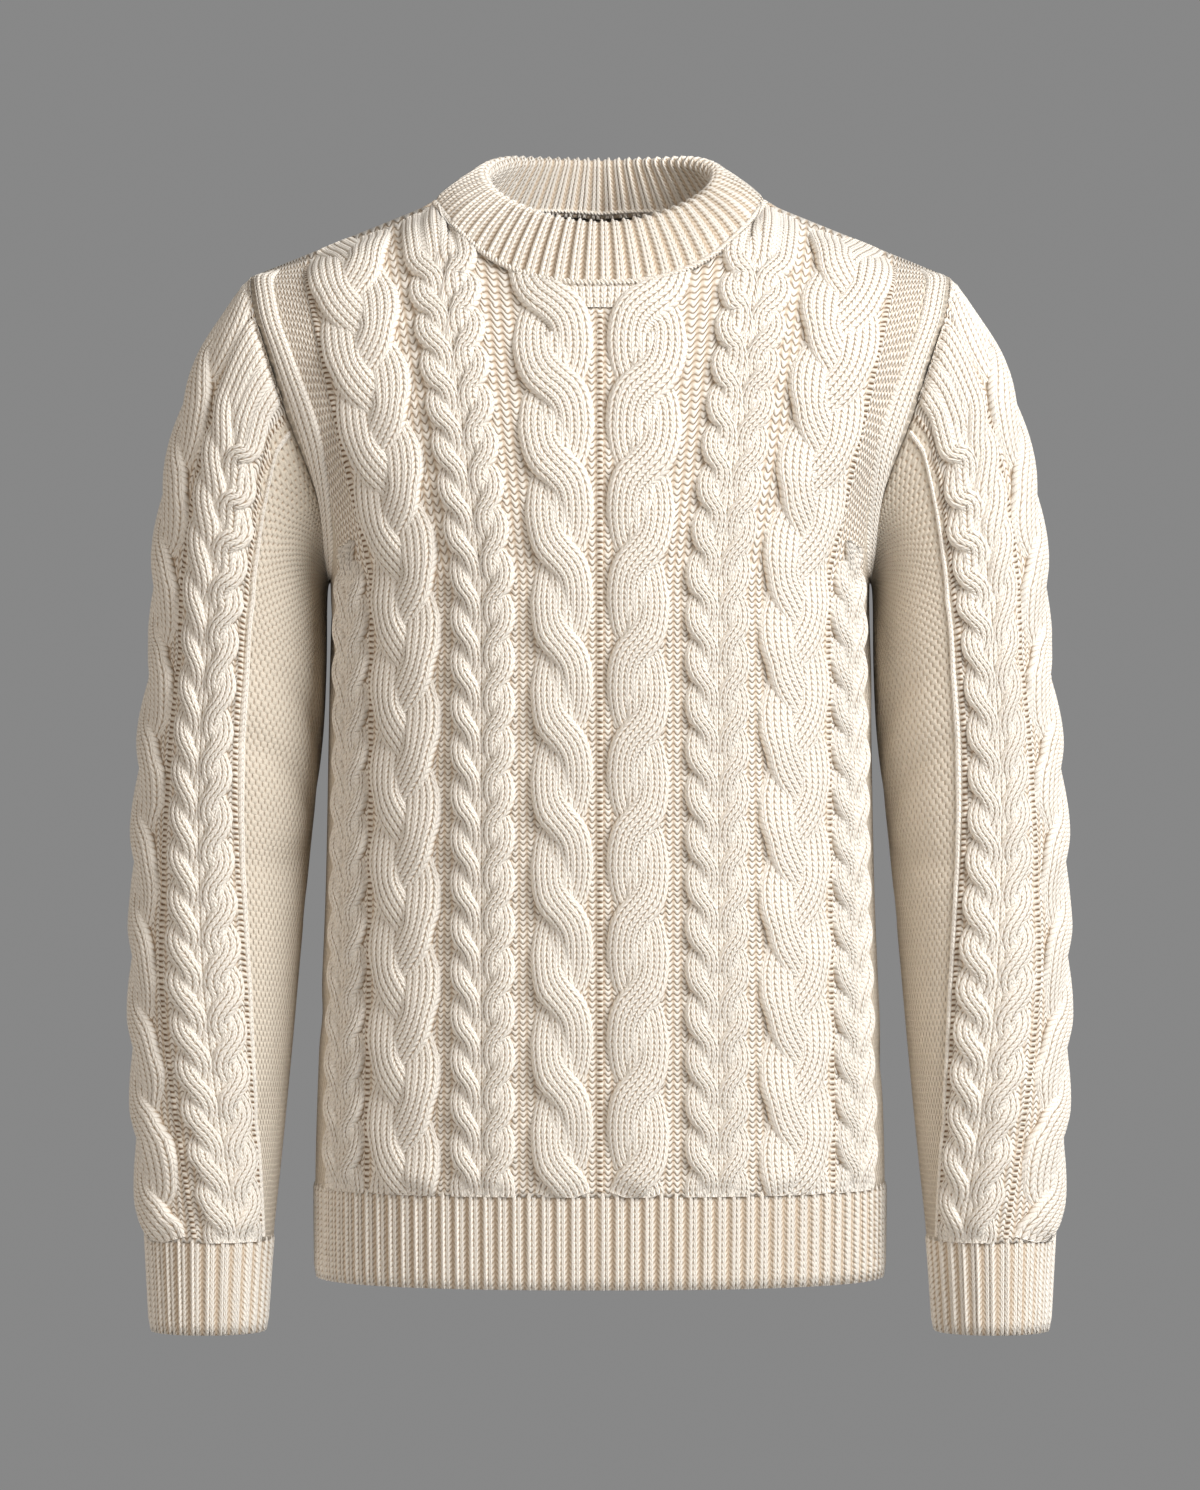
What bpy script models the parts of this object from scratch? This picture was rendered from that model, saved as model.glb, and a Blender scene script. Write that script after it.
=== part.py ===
"""A cable knit sweater, filled out as if worn, with open neck, hem and cuffs.

Metres, +Z up, the front faces -Y. The origin is the middle of the neck's base, level with the
points where the shoulder seams meet the collar. The wearer's left is +X.
Each knitted piece is one closed wall: its outer points carry the cables and ribs, and its inner
side is plain.
"""

import math
from collections import namedtuple

import bmesh
import bpy
import numpy as np

# Walls and seams
WALL = 0.0032
COLLAR_WALL = 0.0080
SEAM_GAP = 0.0003

# Heights
HEM_BOTTOM_Z = -0.6870
HEM_TOP_Z = -0.6280
ARMPIT_Z = -0.2435
SHOULDER_Z = -0.0480
CUFF_TOP_Z = -0.6600
CUFF_BOTTOM_Z = -0.7190

# Neck and shoulders
NECK_HALF_WIDTH = 0.1040
NECK_FRONT_DROP = 0.0590
NECK_BACK_DROP = 0.0040
SHOULDER_HALF_WIDTH = 0.2225
SHOULDER_ROUND = 0.1150
SHOULDER_FORWARD = 0.0080

# Round of the body's section: 2 is an ellipse, more is squarer
BODY_POWER = 2.4
SLEEVE_POWER = 2.1

# Armhole loop, seen from the side
ARMHOLE_FRONT = 0.0630
ARMHOLE_BACK = 0.0660
RIM_TILT = 0.3

# Rows of vertices
ROWS_A_CROSSING = 4
BODY_ROWS = 28
YOKE_ROWS = 12
CAP_ROWS = 12
ARM_ROWS = 28
ROPE_START_ROW = 1.0
INNER_ROW_STEP = 7
ARM_INNER_STEP = 4
CAP_INNER_ROWS = (5, 3, 2, 1, 0)
PLAIT_START_ROW = 27.0
PLAIT_LEAN_ROWS = 2.4
LEAN_FADE_ROWS = 7
BRAID_TOP_ROW = 29.0
BRAID_PHASE = 0.27
PITCH_SHRINK = 0.048

# Strands, as shares of half a cable's width, and the rows in which a braid repeats
ROPE_STRAND = 0.62
BRAID_STRAND = 0.5
BRAID_SWING = 0.58
BRAID_REPEAT = 12.0

# Heights of the cables over the purl ground
ROPE_RISE = 0.0050
PLAIT_RISE = 0.0042
BRAID_RISE = 0.0048
BAND_RISE = 0.0022
END_RELIEF = 0.5

# Ribs
HEM_RIBS = 54
CUFF_RIBS = 28
COLLAR_RIBS = 52
HEM_RIB_RISE = 0.0020
CUFF_RIB_RISE = 0.0018
COLLAR_RIB_RISE = 0.0015

# Collar's top edge
COLLAR_HALF_WIDTH = 0.0745
COLLAR_HALF_DEPTH = 0.0755
COLLAR_CENTRE_Y = -0.0060
COLLAR_FRONT_Z = -0.0190
COLLAR_SIDE_Z = 0.0330
COLLAR_BULGE = 0.0015

FRONT, BACK = -1, 1
YARN_COLOUR = (0.78, 0.70, 0.59, 1.0)

# The body's ground from hem to neck: half its width, and how far its front and back stand out
TORSO_COLUMNS = ("z", "half_width", "front", "back")
TORSO = (
    (-0.6870, 0.1815, 0.1190, 0.1060),
    (-0.6280, 0.1820, 0.1200, 0.1060),
    (-0.5400, 0.1795, 0.1220, 0.1045),
    (-0.4460, 0.1755, 0.1240, 0.1040),
    (-0.3500, 0.1735, 0.1265, 0.1080),
    (-0.2572, 0.1722, 0.1270, 0.1130),
    (-0.2000, 0.1722, 0.1240, 0.1160),
    (-0.1500, 0.1722, 0.1160, 0.1165),
    (-0.1000, 0.1722, 0.1040, 0.1120),
    (-0.0590, 0.1722, 0.0925, 0.1060),
    (0.0000, 0.1722, 0.0840, 0.0960),
)

# The armhole seam, seen from the front
ARMHOLE_COLUMNS = ("z", "x")
ARMHOLE = (
    (-0.2435, 0.1725),
    (-0.2150, 0.1738),
    (-0.1930, 0.1775),
    (-0.1650, 0.1870),
    (-0.1380, 0.1975),
    (-0.1140, 0.2055),
    (-0.0950, 0.2115),
    (-0.0710, 0.2190),
    (-0.0480, 0.2225),
)

# The arm's ground from the underarm to the cuff's end
SLEEVE_COLUMNS = ("z", "outer_x", "inner_x", "centre_y", "half_depth")
SLEEVE = (
    (-0.2850, 0.2825, 0.1745, -0.0020, 0.0690),
    (-0.3350, 0.2890, 0.1765, -0.0050, 0.0670),
    (-0.4000, 0.2935, 0.1835, -0.0100, 0.0635),
    (-0.4700, 0.2950, 0.1900, -0.0160, 0.0595),
    (-0.5400, 0.2945, 0.1960, -0.0220, 0.0545),
    (-0.6100, 0.2915, 0.2025, -0.0280, 0.0485),
    (-0.6600, 0.2885, 0.2075, -0.0320, 0.0435),
    (-0.7190, 0.2850, 0.2115, -0.0360, 0.0400),
)
# How the sleeve leaves the armhole at the shoulder, halfway and at the underarm: a way, and how
# far it keeps to it
CAP_WAYS = (
    (0.62, 0.00, -0.78, 0.0450),
    (0.75, 0.28, -0.55, 0.0300),
    (1.00, 0.00, 0.00, 0.0025),
)
CAP_HOLD_TOP = 0.45
CAP_HOLD_UNDERARM = 0.50
ARM_TOP_OUTER_Z = -0.2700
ARM_TOP_INNER_Z = -0.3000

# Lines of vertices up a panel, from its middle outwards: what they carry, their place across it
# (-1 and 1 are its edges), how far round the body they lie, and their x at the shoulder or neck
Line = namedtuple("Line", "kind across round top_x", defaults=(None,))
PANEL_LINES = (
    Line("ground", 0.0, 0.0000, 0.0000),
    Line("rope", -0.5, 0.0136, 0.0165),
    Line("rope", 0.0, 0.0238, 0.0300),
    Line("rope", 0.5, 0.0339, 0.0460),
    Line("ground", 0.0, 0.0485, 0.0700),
    Line("plait", -0.5, 0.0632, 0.0930),
    Line("plait", 0.0, 0.0735, 0.1040),
    Line("plait", 0.5, 0.0838, 0.1150),
    Line("ground", 0.0, 0.0980, 0.1320),
    Line("braid", -0.5, 0.1142, 0.1490),
    Line("braid", 0.0, 0.1265, 0.1625),
    Line("braid", 0.5, 0.1388, 0.1750),
    Line("ground", 0.0, 0.1535, 0.1890),
)
# Lines beyond the last cable, which close up at the armhole
SIDE_LINES = (
    Line("side", 0.0, 0.1765),
    Line("ground", 0.0, 0.1990),
    Line("band", 0.0, 0.2250),
)
# Lines of vertices down half a sleeve, from its outer line to the underarm
ARM_LINES = (
    Line("ground", 0.0, 0.0000),
    Line("rope", -0.5, 0.0142),
    Line("rope", 0.0, 0.0255),
    Line("rope", 0.5, 0.0368),
    Line("ground", 0.0, 0.0540),
    Line("plait", -0.5, 0.0705),
    Line("plait", 0.0, 0.0810),
    Line("plait", 0.5, 0.0915),
    Line("ground", 0.0, 0.1060),
)
MOSS_LINES = 3


def column(names, rows, name):
    """One column of a table, as an array."""
    return np.array([row[names.index(name)] for row in rows], dtype=float)


def flow(places, values, at):
    """A smooth curve through the values of a table, read at one place."""
    order = np.argsort(places)
    xs, ys = places[order], values[order]
    slopes = np.gradient(ys, xs)
    at = float(np.clip(at, xs[0], xs[-1]))
    k = int(np.clip(np.searchsorted(xs, at) - 1, 0, len(xs) - 2))
    step = xs[k + 1] - xs[k]
    t = (at - xs[k]) / step
    start = ys[k] * (1 + 2 * t) + slopes[k] * step * t
    end = ys[k + 1] * (3 - 2 * t) - slopes[k + 1] * step * (1 - t)
    return start * (1 - t) ** 2 + end * t**2


def ease(t):
    """A soft step from 0 to 1."""
    t = min(1.0, max(0.0, t))
    return t * t * (3 - 2 * t)


def mix(a, b, t):
    return a + (b - a) * t


def unit(vector):
    return vector / max(np.linalg.norm(vector), 1e-12)


# ---------------------------------------------------------------- the body's surface


def torso_size(name, z):
    return flow(column(TORSO_COLUMNS, TORSO, "z"), column(TORSO_COLUMNS, TORSO, name), z)


def ridge_z(x):
    """Height of the shoulder seam."""
    slope = -SHOULDER_Z / (SHOULDER_HALF_WIDTH - NECK_HALF_WIDTH)
    return -(abs(x) - NECK_HALF_WIDTH) * slope


def seam_y(z):
    """The side seam is at the middle, and the shoulder seam a little forward."""
    return -SHOULDER_FORWARD * ease((z - ARMPIT_Z) / (SHOULDER_Z - ARMPIT_Z))


def armhole_x(z):
    places = column(ARMHOLE_COLUMNS, ARMHOLE, "z")
    return flow(places, column(ARMHOLE_COLUMNS, ARMHOLE, "x"), z)


def armhole_depth(face, z):
    """How far the armhole seam stands out from the shoulder seam's plane at a height."""
    middle = (SHOULDER_Z + ARMPIT_Z) / 2
    half = (SHOULDER_Z - ARMPIT_Z) / 2
    depth = ARMHOLE_FRONT if face == FRONT else ARMHOLE_BACK
    return depth * math.sqrt(max(0.0, 1 - ((z - middle) / half) ** 2))


def depth_at(face, z):
    return torso_size("front" if face == FRONT else "back", z) - face * seam_y(z)


def shoulder_rounding(x, z):
    t = min(1.0, max(0.0, (ridge_z(x) - z) / SHOULDER_ROUND))
    return math.sqrt(1 - (1 - t) ** 2)


def section_reach(face, z):
    """Half width of the whole section that the panel is part of."""
    if z <= ARMPIT_Z:
        return torso_size("half_width", z)
    z = min(z, SHOULDER_Z - 0.004)
    x = armhole_x(z)
    share = armhole_depth(face, z) / (depth_at(face, z) * shoulder_rounding(x, z))
    return x / (1 - min(share, 0.95) ** BODY_POWER) ** (1 / BODY_POWER)


def torso_point(face, x, z):
    """The ground of the front or back at a place seen from the front."""
    across = min(1.0, abs(x) / section_reach(face, z))
    side = (1 - across**BODY_POWER) ** (1 / BODY_POWER)
    out = depth_at(face, z) * shoulder_rounding(x, z) * side
    return np.array([x, seam_y(z) + face * out, z])


def section_angle(face, x, z):
    share = min(1.0, abs(x) / section_reach(face, z))
    return math.asin(share ** (BODY_POWER / 2))


def section_x(face, angle, z):
    return section_reach(face, z) * math.sin(angle) ** (2 / BODY_POWER)


def angles_round(face, z, distances):
    """Section angles that lie at the given distances round the body from its middle."""
    angles = np.linspace(0.0, math.pi / 2, 181)
    points = np.array([torso_point(face, section_x(face, a, z), z) for a in angles])
    points[-1, 1] = seam_y(z)
    run = np.concatenate([[0.0], np.cumsum(np.linalg.norm(np.diff(points, axis=0), axis=1))])
    return [float(np.interp(d, run, angles)) for d in distances]


def neck_z(face, x):
    """Height of the neckline."""
    turn = math.asin(min(1.0, abs(x) / NECK_HALF_WIDTH)) / (math.pi / 2)
    if face == FRONT:
        return -NECK_FRONT_DROP * (1 - ease(turn**1.4))
    return -NECK_BACK_DROP * (1 - ease(turn**4))


def armhole_point(face, turn):
    """Point of the armhole seam: turn 0 is the shoulder, 1 the underarm."""
    middle = (SHOULDER_Z + ARMPIT_Z) / 2
    half = (SHOULDER_Z - ARMPIT_Z) / 2
    z = middle + half * math.cos(math.pi * turn)
    return np.array([armhole_x(z), seam_y(z) + face * armhole_depth(face, z), z])


# ---------------------------------------------------------------- cables


def wide_pitch():
    """Height from one crossing of the wide cables to the next."""
    return ROWS_A_CROSSING * (ARMPIT_Z - HEM_TOP_Z) / BODY_ROWS


def row_at(z):
    """Rows of the pattern counted from the hem, closer together up the chest."""
    low = (min(z, ARMPIT_Z) - HEM_TOP_Z) / wide_pitch()
    rise = max(0.0, z - ARMPIT_Z)
    high = -math.log(1 - PITCH_SHRINK * rise / wide_pitch()) / PITCH_SHRINK
    return ROWS_A_CROSSING * (low + high)


def crown(offset, half_width):
    """Round top of one strand."""
    return math.sqrt(max(0.0, 1 - (offset / half_width) ** 2))


def rope_height(across, row):
    """Two strands that cross every four rows, the upper one running down and inwards."""
    phase = (row - ROPE_START_ROW) / ROWS_A_CROSSING
    swing = math.sin(math.pi * (phase - round(phase)))
    lift = math.cos(math.pi * (phase - round(phase)))
    over = crown(across - 0.5 * swing, ROPE_STRAND) * (1 + 0.3 * lift)
    under = crown(across + 0.5 * swing, ROPE_STRAND) * (1 - 0.5 * lift)
    return ROPE_RISE * max(over, under)


def plait_height(across, row):
    """Two narrow ropes that lean together in a V, every two rows."""
    phase = (row - PLAIT_START_ROW + PLAIT_LEAN_ROWS * (1 - abs(across))) / 2
    ridge = 0.68 + 0.32 * math.cos(2 * math.pi * phase)
    return PLAIT_RISE * ridge * (0.85 if across == 0 else 1.0)


def braid_height(across, row):
    """Three strands plaited, each passing over the next as it turns in from an edge."""
    heights = []
    for strand in range(3):
        turn = 2 * math.pi * ((BRAID_TOP_ROW - row) / BRAID_REPEAT + strand / 3)
        turn += BRAID_PHASE * math.pi
        lift = 1 - 0.3 * math.sin(2 * turn)
        heights.append(lift * crown(across - BRAID_SWING * math.sin(turn), BRAID_STRAND))
    return BRAID_RISE * max(heights)


def relief(kind, across, row):
    """Height of a cable over the ground."""
    if kind == "rope":
        return rope_height(across, row)
    if kind == "plait":
        return plait_height(across, row)
    if kind == "braid":
        return braid_height(across, row)
    if kind == "side":
        return 0.8 * plait_height(across, row)
    return 0.0


# ---------------------------------------------------------------- closing walls into solids


class Solid:
    """Points and triangles of one closed wall."""

    def __init__(self):
        self.points = []
        self.faces = []

    def add(self, points):
        """Adds a ring or row of points and returns their numbers."""
        first = len(self.points)
        self.points.extend(tuple(float(c) for c in p) for p in points)
        return list(range(first, len(self.points)))

    def sheet(self, grid, rising):
        """Two triangles a cell, split along its rising diagonal or the other one."""
        for i in range(len(grid) - 1):
            for j in range(len(grid[i]) - 1):
                a, b = grid[i][j], grid[i][j + 1]
                c, d = grid[i + 1][j + 1], grid[i + 1][j]
                if rising[i][j]:
                    self.faces += [(a, b, c), (a, c, d)]
                else:
                    self.faces += [(a, b, d), (b, c, d)]

    def strip(self, line, keys, other, other_keys):
        """Triangles between two lines of points whose keys rise together."""
        i = j = 0
        while i + 1 < len(line) or j + 1 < len(other):
            middle_i = keys[i] + keys[i + 1] if i + 1 < len(line) else math.inf
            middle_j = other_keys[j] + other_keys[j + 1] if j + 1 < len(other) else math.inf
            if middle_i <= middle_j:
                self.faces.append((line[i], line[i + 1], other[j]))
                i += 1
            else:
                self.faces.append((line[i], other[j + 1], other[j]))
                j += 1

    def bridge(self, loop, other):
        """Triangles between two closed loops of evenly matched points."""
        keys = [n / len(loop) for n in range(len(loop) + 1)]
        other_keys = [n / len(other) for n in range(len(other) + 1)]
        self.strip(loop + loop[:1], keys, other + other[:1], other_keys)

    def rings(self, rings):
        """A tube's wall as closed rings in turn, the last one joined to the first."""
        numbers = [self.add(ring) for ring in rings]
        for k, ring in enumerate(numbers):
            self.bridge(ring, numbers[(k + 1) % len(numbers)])

    def build(self, name):
        """Makes the object, with its faces turned outwards."""
        mesh = bpy.data.meshes.new(name)
        mesh.from_pydata(self.points, [], self.faces)
        work = bmesh.new()
        work.from_mesh(mesh)
        bmesh.ops.recalc_face_normals(work, faces=work.faces)
        work.to_mesh(mesh)
        work.free()
        mesh.shade_smooth()
        mesh.set_sharp_from_angle(angle=math.radians(50))
        item = bpy.data.objects.new(name, mesh)
        item.data.materials.append(wool(name))
        bpy.context.scene.collection.objects.link(item)
        return item


def wool(name):
    """Undyed wool yarn."""
    material = bpy.data.materials.new(name + "_wool")
    material.use_nodes = True
    shader = material.node_tree.nodes["Principled BSDF"]
    shader.inputs["Base Color"].default_value = YARN_COLOUR
    shader.inputs["Roughness"].default_value = 0.9
    shader.inputs["Metallic"].default_value = 0.0
    return material


def surface_normals(grid, flip):
    """Outward normals of a grid of points, from its neighbours."""
    along = np.gradient(grid, axis=1)
    up = np.gradient(grid, axis=0)
    normals = np.cross(along, up) * flip
    return normals / np.linalg.norm(normals, axis=2, keepdims=True)


# ---------------------------------------------------------------- body panels


def half_panel_lower(face):
    """Rows from the hem rib to the underarm, on the wearer's left half."""
    distances = [line.round for line in PANEL_LINES + SIDE_LINES]
    rows = []
    for i in range(BODY_ROWS + 1):
        z = mix(HEM_TOP_Z, ARMPIT_Z, i / BODY_ROWS)
        angles = angles_round(face, z, distances)
        row = [torso_point(face, section_x(face, a, z), z) for a in angles]
        edge_x = armhole_x(ARMPIT_Z) if i == BODY_ROWS else torso_size("half_width", z)
        rows.append(row + [np.array([edge_x, seam_y(z), z])])
    return rows


def top_z(face, x):
    return neck_z(face, x) if x < NECK_HALF_WIDTH else ridge_z(x)


def half_panel_yoke(face, base):
    """Rows from the underarm to the neckline and shoulder seam."""
    last = len(PANEL_LINES) - 1
    side_angles = [section_angle(face, p[0], p[2]) for p in base[last:-1]] + [math.pi / 2]
    shares = [(a - side_angles[0]) / (side_angles[-1] - side_angles[0]) for a in side_angles]
    rows = []
    for r in range(1, YOKE_ROWS + 1):
        w = r / YOKE_ROWS
        row = []
        for line, start in zip(PANEL_LINES, base):
            x = mix(start[0], line.top_x, w)
            z = mix(ARMPIT_Z, top_z(face, line.top_x), w)
            row.append(torso_point(face, x, z))
        inner, edge = row[-1], armhole_point(face, 1 - w)
        inner_angle = section_angle(face, inner[0], inner[2])
        edge_angle = section_angle(face, edge[0], edge[2])
        for share in shares[1:-1]:
            if r == YOKE_ROWS:
                x = mix(inner[0], edge[0], share)
                row.append(np.array([x, seam_y(SHOULDER_Z), ridge_z(x)]))
                continue
            z = mix(inner[2], edge[2], share)
            x = section_x(face, mix(inner_angle, edge_angle, share), z)
            row.append(torso_point(face, x, z))
        rows.append(row + [edge])
    return rows


def lean_plaits(grid, face):
    """Lowers the plait's inner lines, so that rows follow its strands down to the V."""
    leaning = grid.copy()
    rows = grid.shape[0]
    for j, line in enumerate(PANEL_LINES):
        if line.kind != "plait":
            continue
        drop = PLAIT_LEAN_ROWS * (1 - abs(line.across)) * wide_pitch() / ROWS_A_CROSSING
        for i in range(1, rows - 1):
            fade = ease(i / LEAN_FADE_ROWS) * ease((rows - 1 - i) / LEAN_FADE_ROWS)
            z = grid[i, j, 2] - drop * fade
            x = float(np.interp(z, grid[:, j, 2], grid[:, j, 0]))
            leaning[i, j] = torso_point(face, x, z)
    return leaning


def half_panel_relief(grid):
    """Heights over the ground for half a panel."""
    lines = PANEL_LINES + SIDE_LINES
    heights = np.zeros(grid.shape[:2])
    rows = grid.shape[0]
    for i in range(rows):
        yoke = max(0.0, (i - BODY_ROWS) / YOKE_ROWS)
        for j, (kind, across, *_) in enumerate(lines):
            end = END_RELIEF if i in (0, rows - 1) else 1.0
            if i == rows - 1 and grid[i, j, 0] <= NECK_HALF_WIDTH + SEAM_GAP:
                end = 0.0
            height = relief(kind, across, row_at(grid[i, j, 2]))
            if kind == "side":
                height *= 1 - ease(yoke * YOKE_ROWS / 2)
            if kind == "band":
                height = BAND_RISE * ease(yoke * YOKE_ROWS / 2)
            heights[i, j] = height * end
    return heights


def mirrored(half, sign):
    """A whole panel from its left half: lines from the wearer's right to the left."""
    other = half[:, :0:-1].copy()
    if half.ndim == 3:
        other[:, :, 0] *= sign
    return np.concatenate([other, half], axis=1)


def armhole_rims():
    """For each armhole point: its place, its way out of the loop and its way to the sleeve."""
    turns = [n / YOKE_ROWS for n in range(YOKE_ROWS + 1)]
    front = [armhole_point(FRONT, t) for t in turns]
    back = [armhole_point(BACK, t) for t in turns[1:-1]]
    loop = np.array(front + back[::-1])
    tangent = np.roll(loop, -1, axis=0) - np.roll(loop, 1, axis=0)
    middle = loop.mean(axis=0)
    normal = unit(np.sum(np.cross(loop - middle, np.roll(loop, -1, axis=0) - middle), axis=0))
    normal = normal if normal[0] > 0 else -normal
    outward = np.array([unit(np.cross(t, normal)) for t in tangent])
    facing = np.sign(np.sum(outward * (loop - middle), axis=1))
    return loop, outward * facing[:, None], normal


def panel_edges(normals, face, relief_grid):
    """Sets which way the wall is thick along the seams, so that its neighbours meet it."""
    loop, outward, normal = armhole_rims()
    rows = normals.shape[0]
    for side, edge in ((1, -1), (-1, 0)):
        normals[: BODY_ROWS + 1, edge, 1] = 0.0
        for r in range(YOKE_ROWS + 1):
            number = YOKE_ROWS - r
            if face == BACK:
                number = (len(loop) - number) % len(loop)
            way = outward[number] + RIM_TILT * normal
            normals[BODY_ROWS + r, edge] = way * np.array([side, 1, 1])
        relief_grid[BODY_ROWS:, edge] = 0.0
    middle = normals.shape[1] // 2
    corner = [line.top_x for line in PANEL_LINES].index(NECK_HALF_WIDTH)
    normals[rows - 1, middle + corner :, 1] = 0.0
    normals[rows - 1, : middle - corner + 1, 1] = 0.0
    lengths = np.linalg.norm(normals, axis=2, keepdims=True)
    return normals / lengths


def rising_cells(heights):
    """Which cells are split along the rising diagonal, because their strand runs that way."""
    rising = heights[:-1, :-1] + heights[1:, 1:]
    falling = heights[:-1, 1:] + heights[1:, :-1]
    return rising >= falling


def close_wall(solid, outer, rows, lines, inner, rows_kept, lines_kept):
    """Joins the outer and inner points of a wall along its four edges."""
    solid.strip(outer[0], lines, inner[0], lines_kept)
    solid.strip(outer[-1], lines, inner[-1], lines_kept)
    for edge in (0, -1):
        outer_edge, inner_edge = [row[edge] for row in outer], [row[edge] for row in inner]
        solid.strip(outer_edge, rows, inner_edge, rows_kept)


def body_panel(name, face):
    """The front or the back, from the hem rib to the shoulders."""
    lower = half_panel_lower(face)
    half = np.array(lower + half_panel_yoke(face, lower[-1]))
    half = lean_plaits(half, face)
    heights = mirrored(half_panel_relief(half), 1)
    grid = mirrored(half, -1)
    normals = panel_edges(surface_normals(grid, -face), face, heights)
    rows, lines = grid.shape[:2]
    grid[:, (0, -1), 1] += face * SEAM_GAP / 2
    grid[rows - 1, :, 1] += face * SEAM_GAP / 2
    grid[BODY_ROWS + 1 : rows - 1, (0, -1), 1] -= face * SEAM_GAP / 2

    solid = Solid()
    outer = [solid.add(row) for row in grid + normals * heights[:, :, None]]
    rising = rising_cells(heights)
    solid.sheet(outer, rising)
    rows_kept = list(range(0, BODY_ROWS, INNER_ROW_STEP)) + list(range(BODY_ROWS - 1, rows))
    inner = [solid.add(row) for row in (grid - normals * WALL)[rows_kept]]
    solid.sheet(inner, rising[rows_kept[:-1]])
    all_lines = range(lines)
    close_wall(solid, outer, range(rows), all_lines, inner, rows_kept, all_lines)
    return solid.build(name)


# ---------------------------------------------------------------- sleeves and cuffs


def sleeve_size(name, z):
    places = column(SLEEVE_COLUMNS, SLEEVE, "z")
    return flow(places, column(SLEEVE_COLUMNS, SLEEVE, name), z)


def arm_point(angle, z):
    """Ground of the wearer's left sleeve: angle 0 is the outer line, pi the underarm."""
    outer, inner = sleeve_size("outer_x", z), sleeve_size("inner_x", z)
    half = (outer - inner) / 2
    power = 2 / SLEEVE_POWER
    cosine, sine = math.cos(angle), math.sin(angle)
    x = (outer + inner) / 2 + half * math.copysign(abs(cosine) ** power, cosine)
    depth = sleeve_size("half_depth", z) * math.copysign(abs(sine) ** power, sine)
    return np.array([x, sleeve_size("centre_y", z) - depth, z])


def arm_angles(z, distances):
    """Angles that lie at the given distances round the sleeve from its outer line."""
    angles = np.linspace(0.0, math.pi, 181)
    points = np.array([arm_point(a, z) for a in angles])
    run = np.concatenate([[0.0], np.cumsum(np.linalg.norm(np.diff(points, axis=0), axis=1))])
    last = distances[-1]
    moss = [mix(last, run[-1], n / (MOSS_LINES + 1)) for n in range(1, MOSS_LINES + 1)]
    return [float(np.interp(d, run, angles)) for d in [*distances, *moss]] + [math.pi]


def arm_ring(share):
    """Ring of ground points round the arm, share 0 at its top and 1 at the cuff."""
    outer_z = mix(ARM_TOP_OUTER_Z, CUFF_TOP_Z, share)
    inner_z = mix(ARM_TOP_INNER_Z, CUFF_TOP_Z, share)
    middle = (outer_z + inner_z) / 2
    front = arm_angles(middle, [line.round for line in ARM_LINES])
    angles = front + [-a for a in front[-2:0:-1]]
    ring = []
    for angle in angles:
        z = mix(outer_z, inner_z, (1 - math.cos(angle)) / 2)
        ring.append(arm_point(angle, z))
    return np.array(ring)


def cap_start(turn, side):
    """Way in which the sleeve leaves the armhole seam, and how far it keeps to it."""
    place = turn * (len(CAP_WAYS) - 1)
    numbers = range(len(CAP_WAYS))
    x, y, z, keep = [float(np.interp(place, numbers, values)) for values in zip(*CAP_WAYS)]
    return unit(np.array([x, y * side, z])), keep


def sleeve_rings():
    """Rings from the armhole down to the cuff."""
    loop, _, normal = armhole_rims()
    first = loop + normal * SEAM_GAP
    top, below = arm_ring(0.0), arm_ring(1 / ARM_ROWS)
    count = len(first)
    rings = [first]
    for k in range(1, CAP_ROWS):
        t = k / CAP_ROWS
        ring = []
        for n in range(count):
            turn = min(n, count - n) / YOKE_ROWS
            side = FRONT if n < YOKE_ROWS else BACK
            way, keep = cap_start(turn, 0 if n in (0, YOKE_ROWS) else side)
            reach = np.linalg.norm(top[n] - first[n])
            a = first[n] + way * keep
            b = top[n] + unit(top[n] - below[n]) * reach * mix(CAP_HOLD_TOP, CAP_HOLD_UNDERARM, turn)
            point = first[n] * (1 - t) ** 3 + a * 3 * t * (1 - t) ** 2
            ring.append(point + b * 3 * t**2 * (1 - t) + top[n] * t**3)
        rings.append(np.array(ring))
    rings += [arm_ring(k / ARM_ROWS) for k in range(ARM_ROWS + 1)]
    return np.array(rings)


def sleeve_relief(rows, count):
    """Heights over the ground, a ring for each row."""
    half = ARM_LINES + (ARM_LINES[0],) * (MOSS_LINES + 1)
    kinds = half + half[-2:0:-1]
    heights = np.zeros((rows, count))
    for i in range(rows):
        fade = ease(i / ROWS_A_CROSSING)
        end = END_RELIEF if i == rows - 1 else 1.0
        for j, (kind, across, *_) in enumerate(kinds):
            heights[i, j] = relief(kind, across, rows - i) * fade * end
    return heights


def tube_normals(rings):
    """Outward normals of rings of points that run down a tube."""
    along = np.roll(rings, -1, axis=1) - np.roll(rings, 1, axis=1)
    down = np.gradient(rings, axis=0)
    normals = np.cross(along, down)
    centre = rings.mean(axis=1, keepdims=True)
    mostly = np.sum(normals * (rings - centre), axis=(1, 2))
    normals *= np.sign(mostly)[:, None, None]
    return normals / np.linalg.norm(normals, axis=2, keepdims=True)


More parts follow.
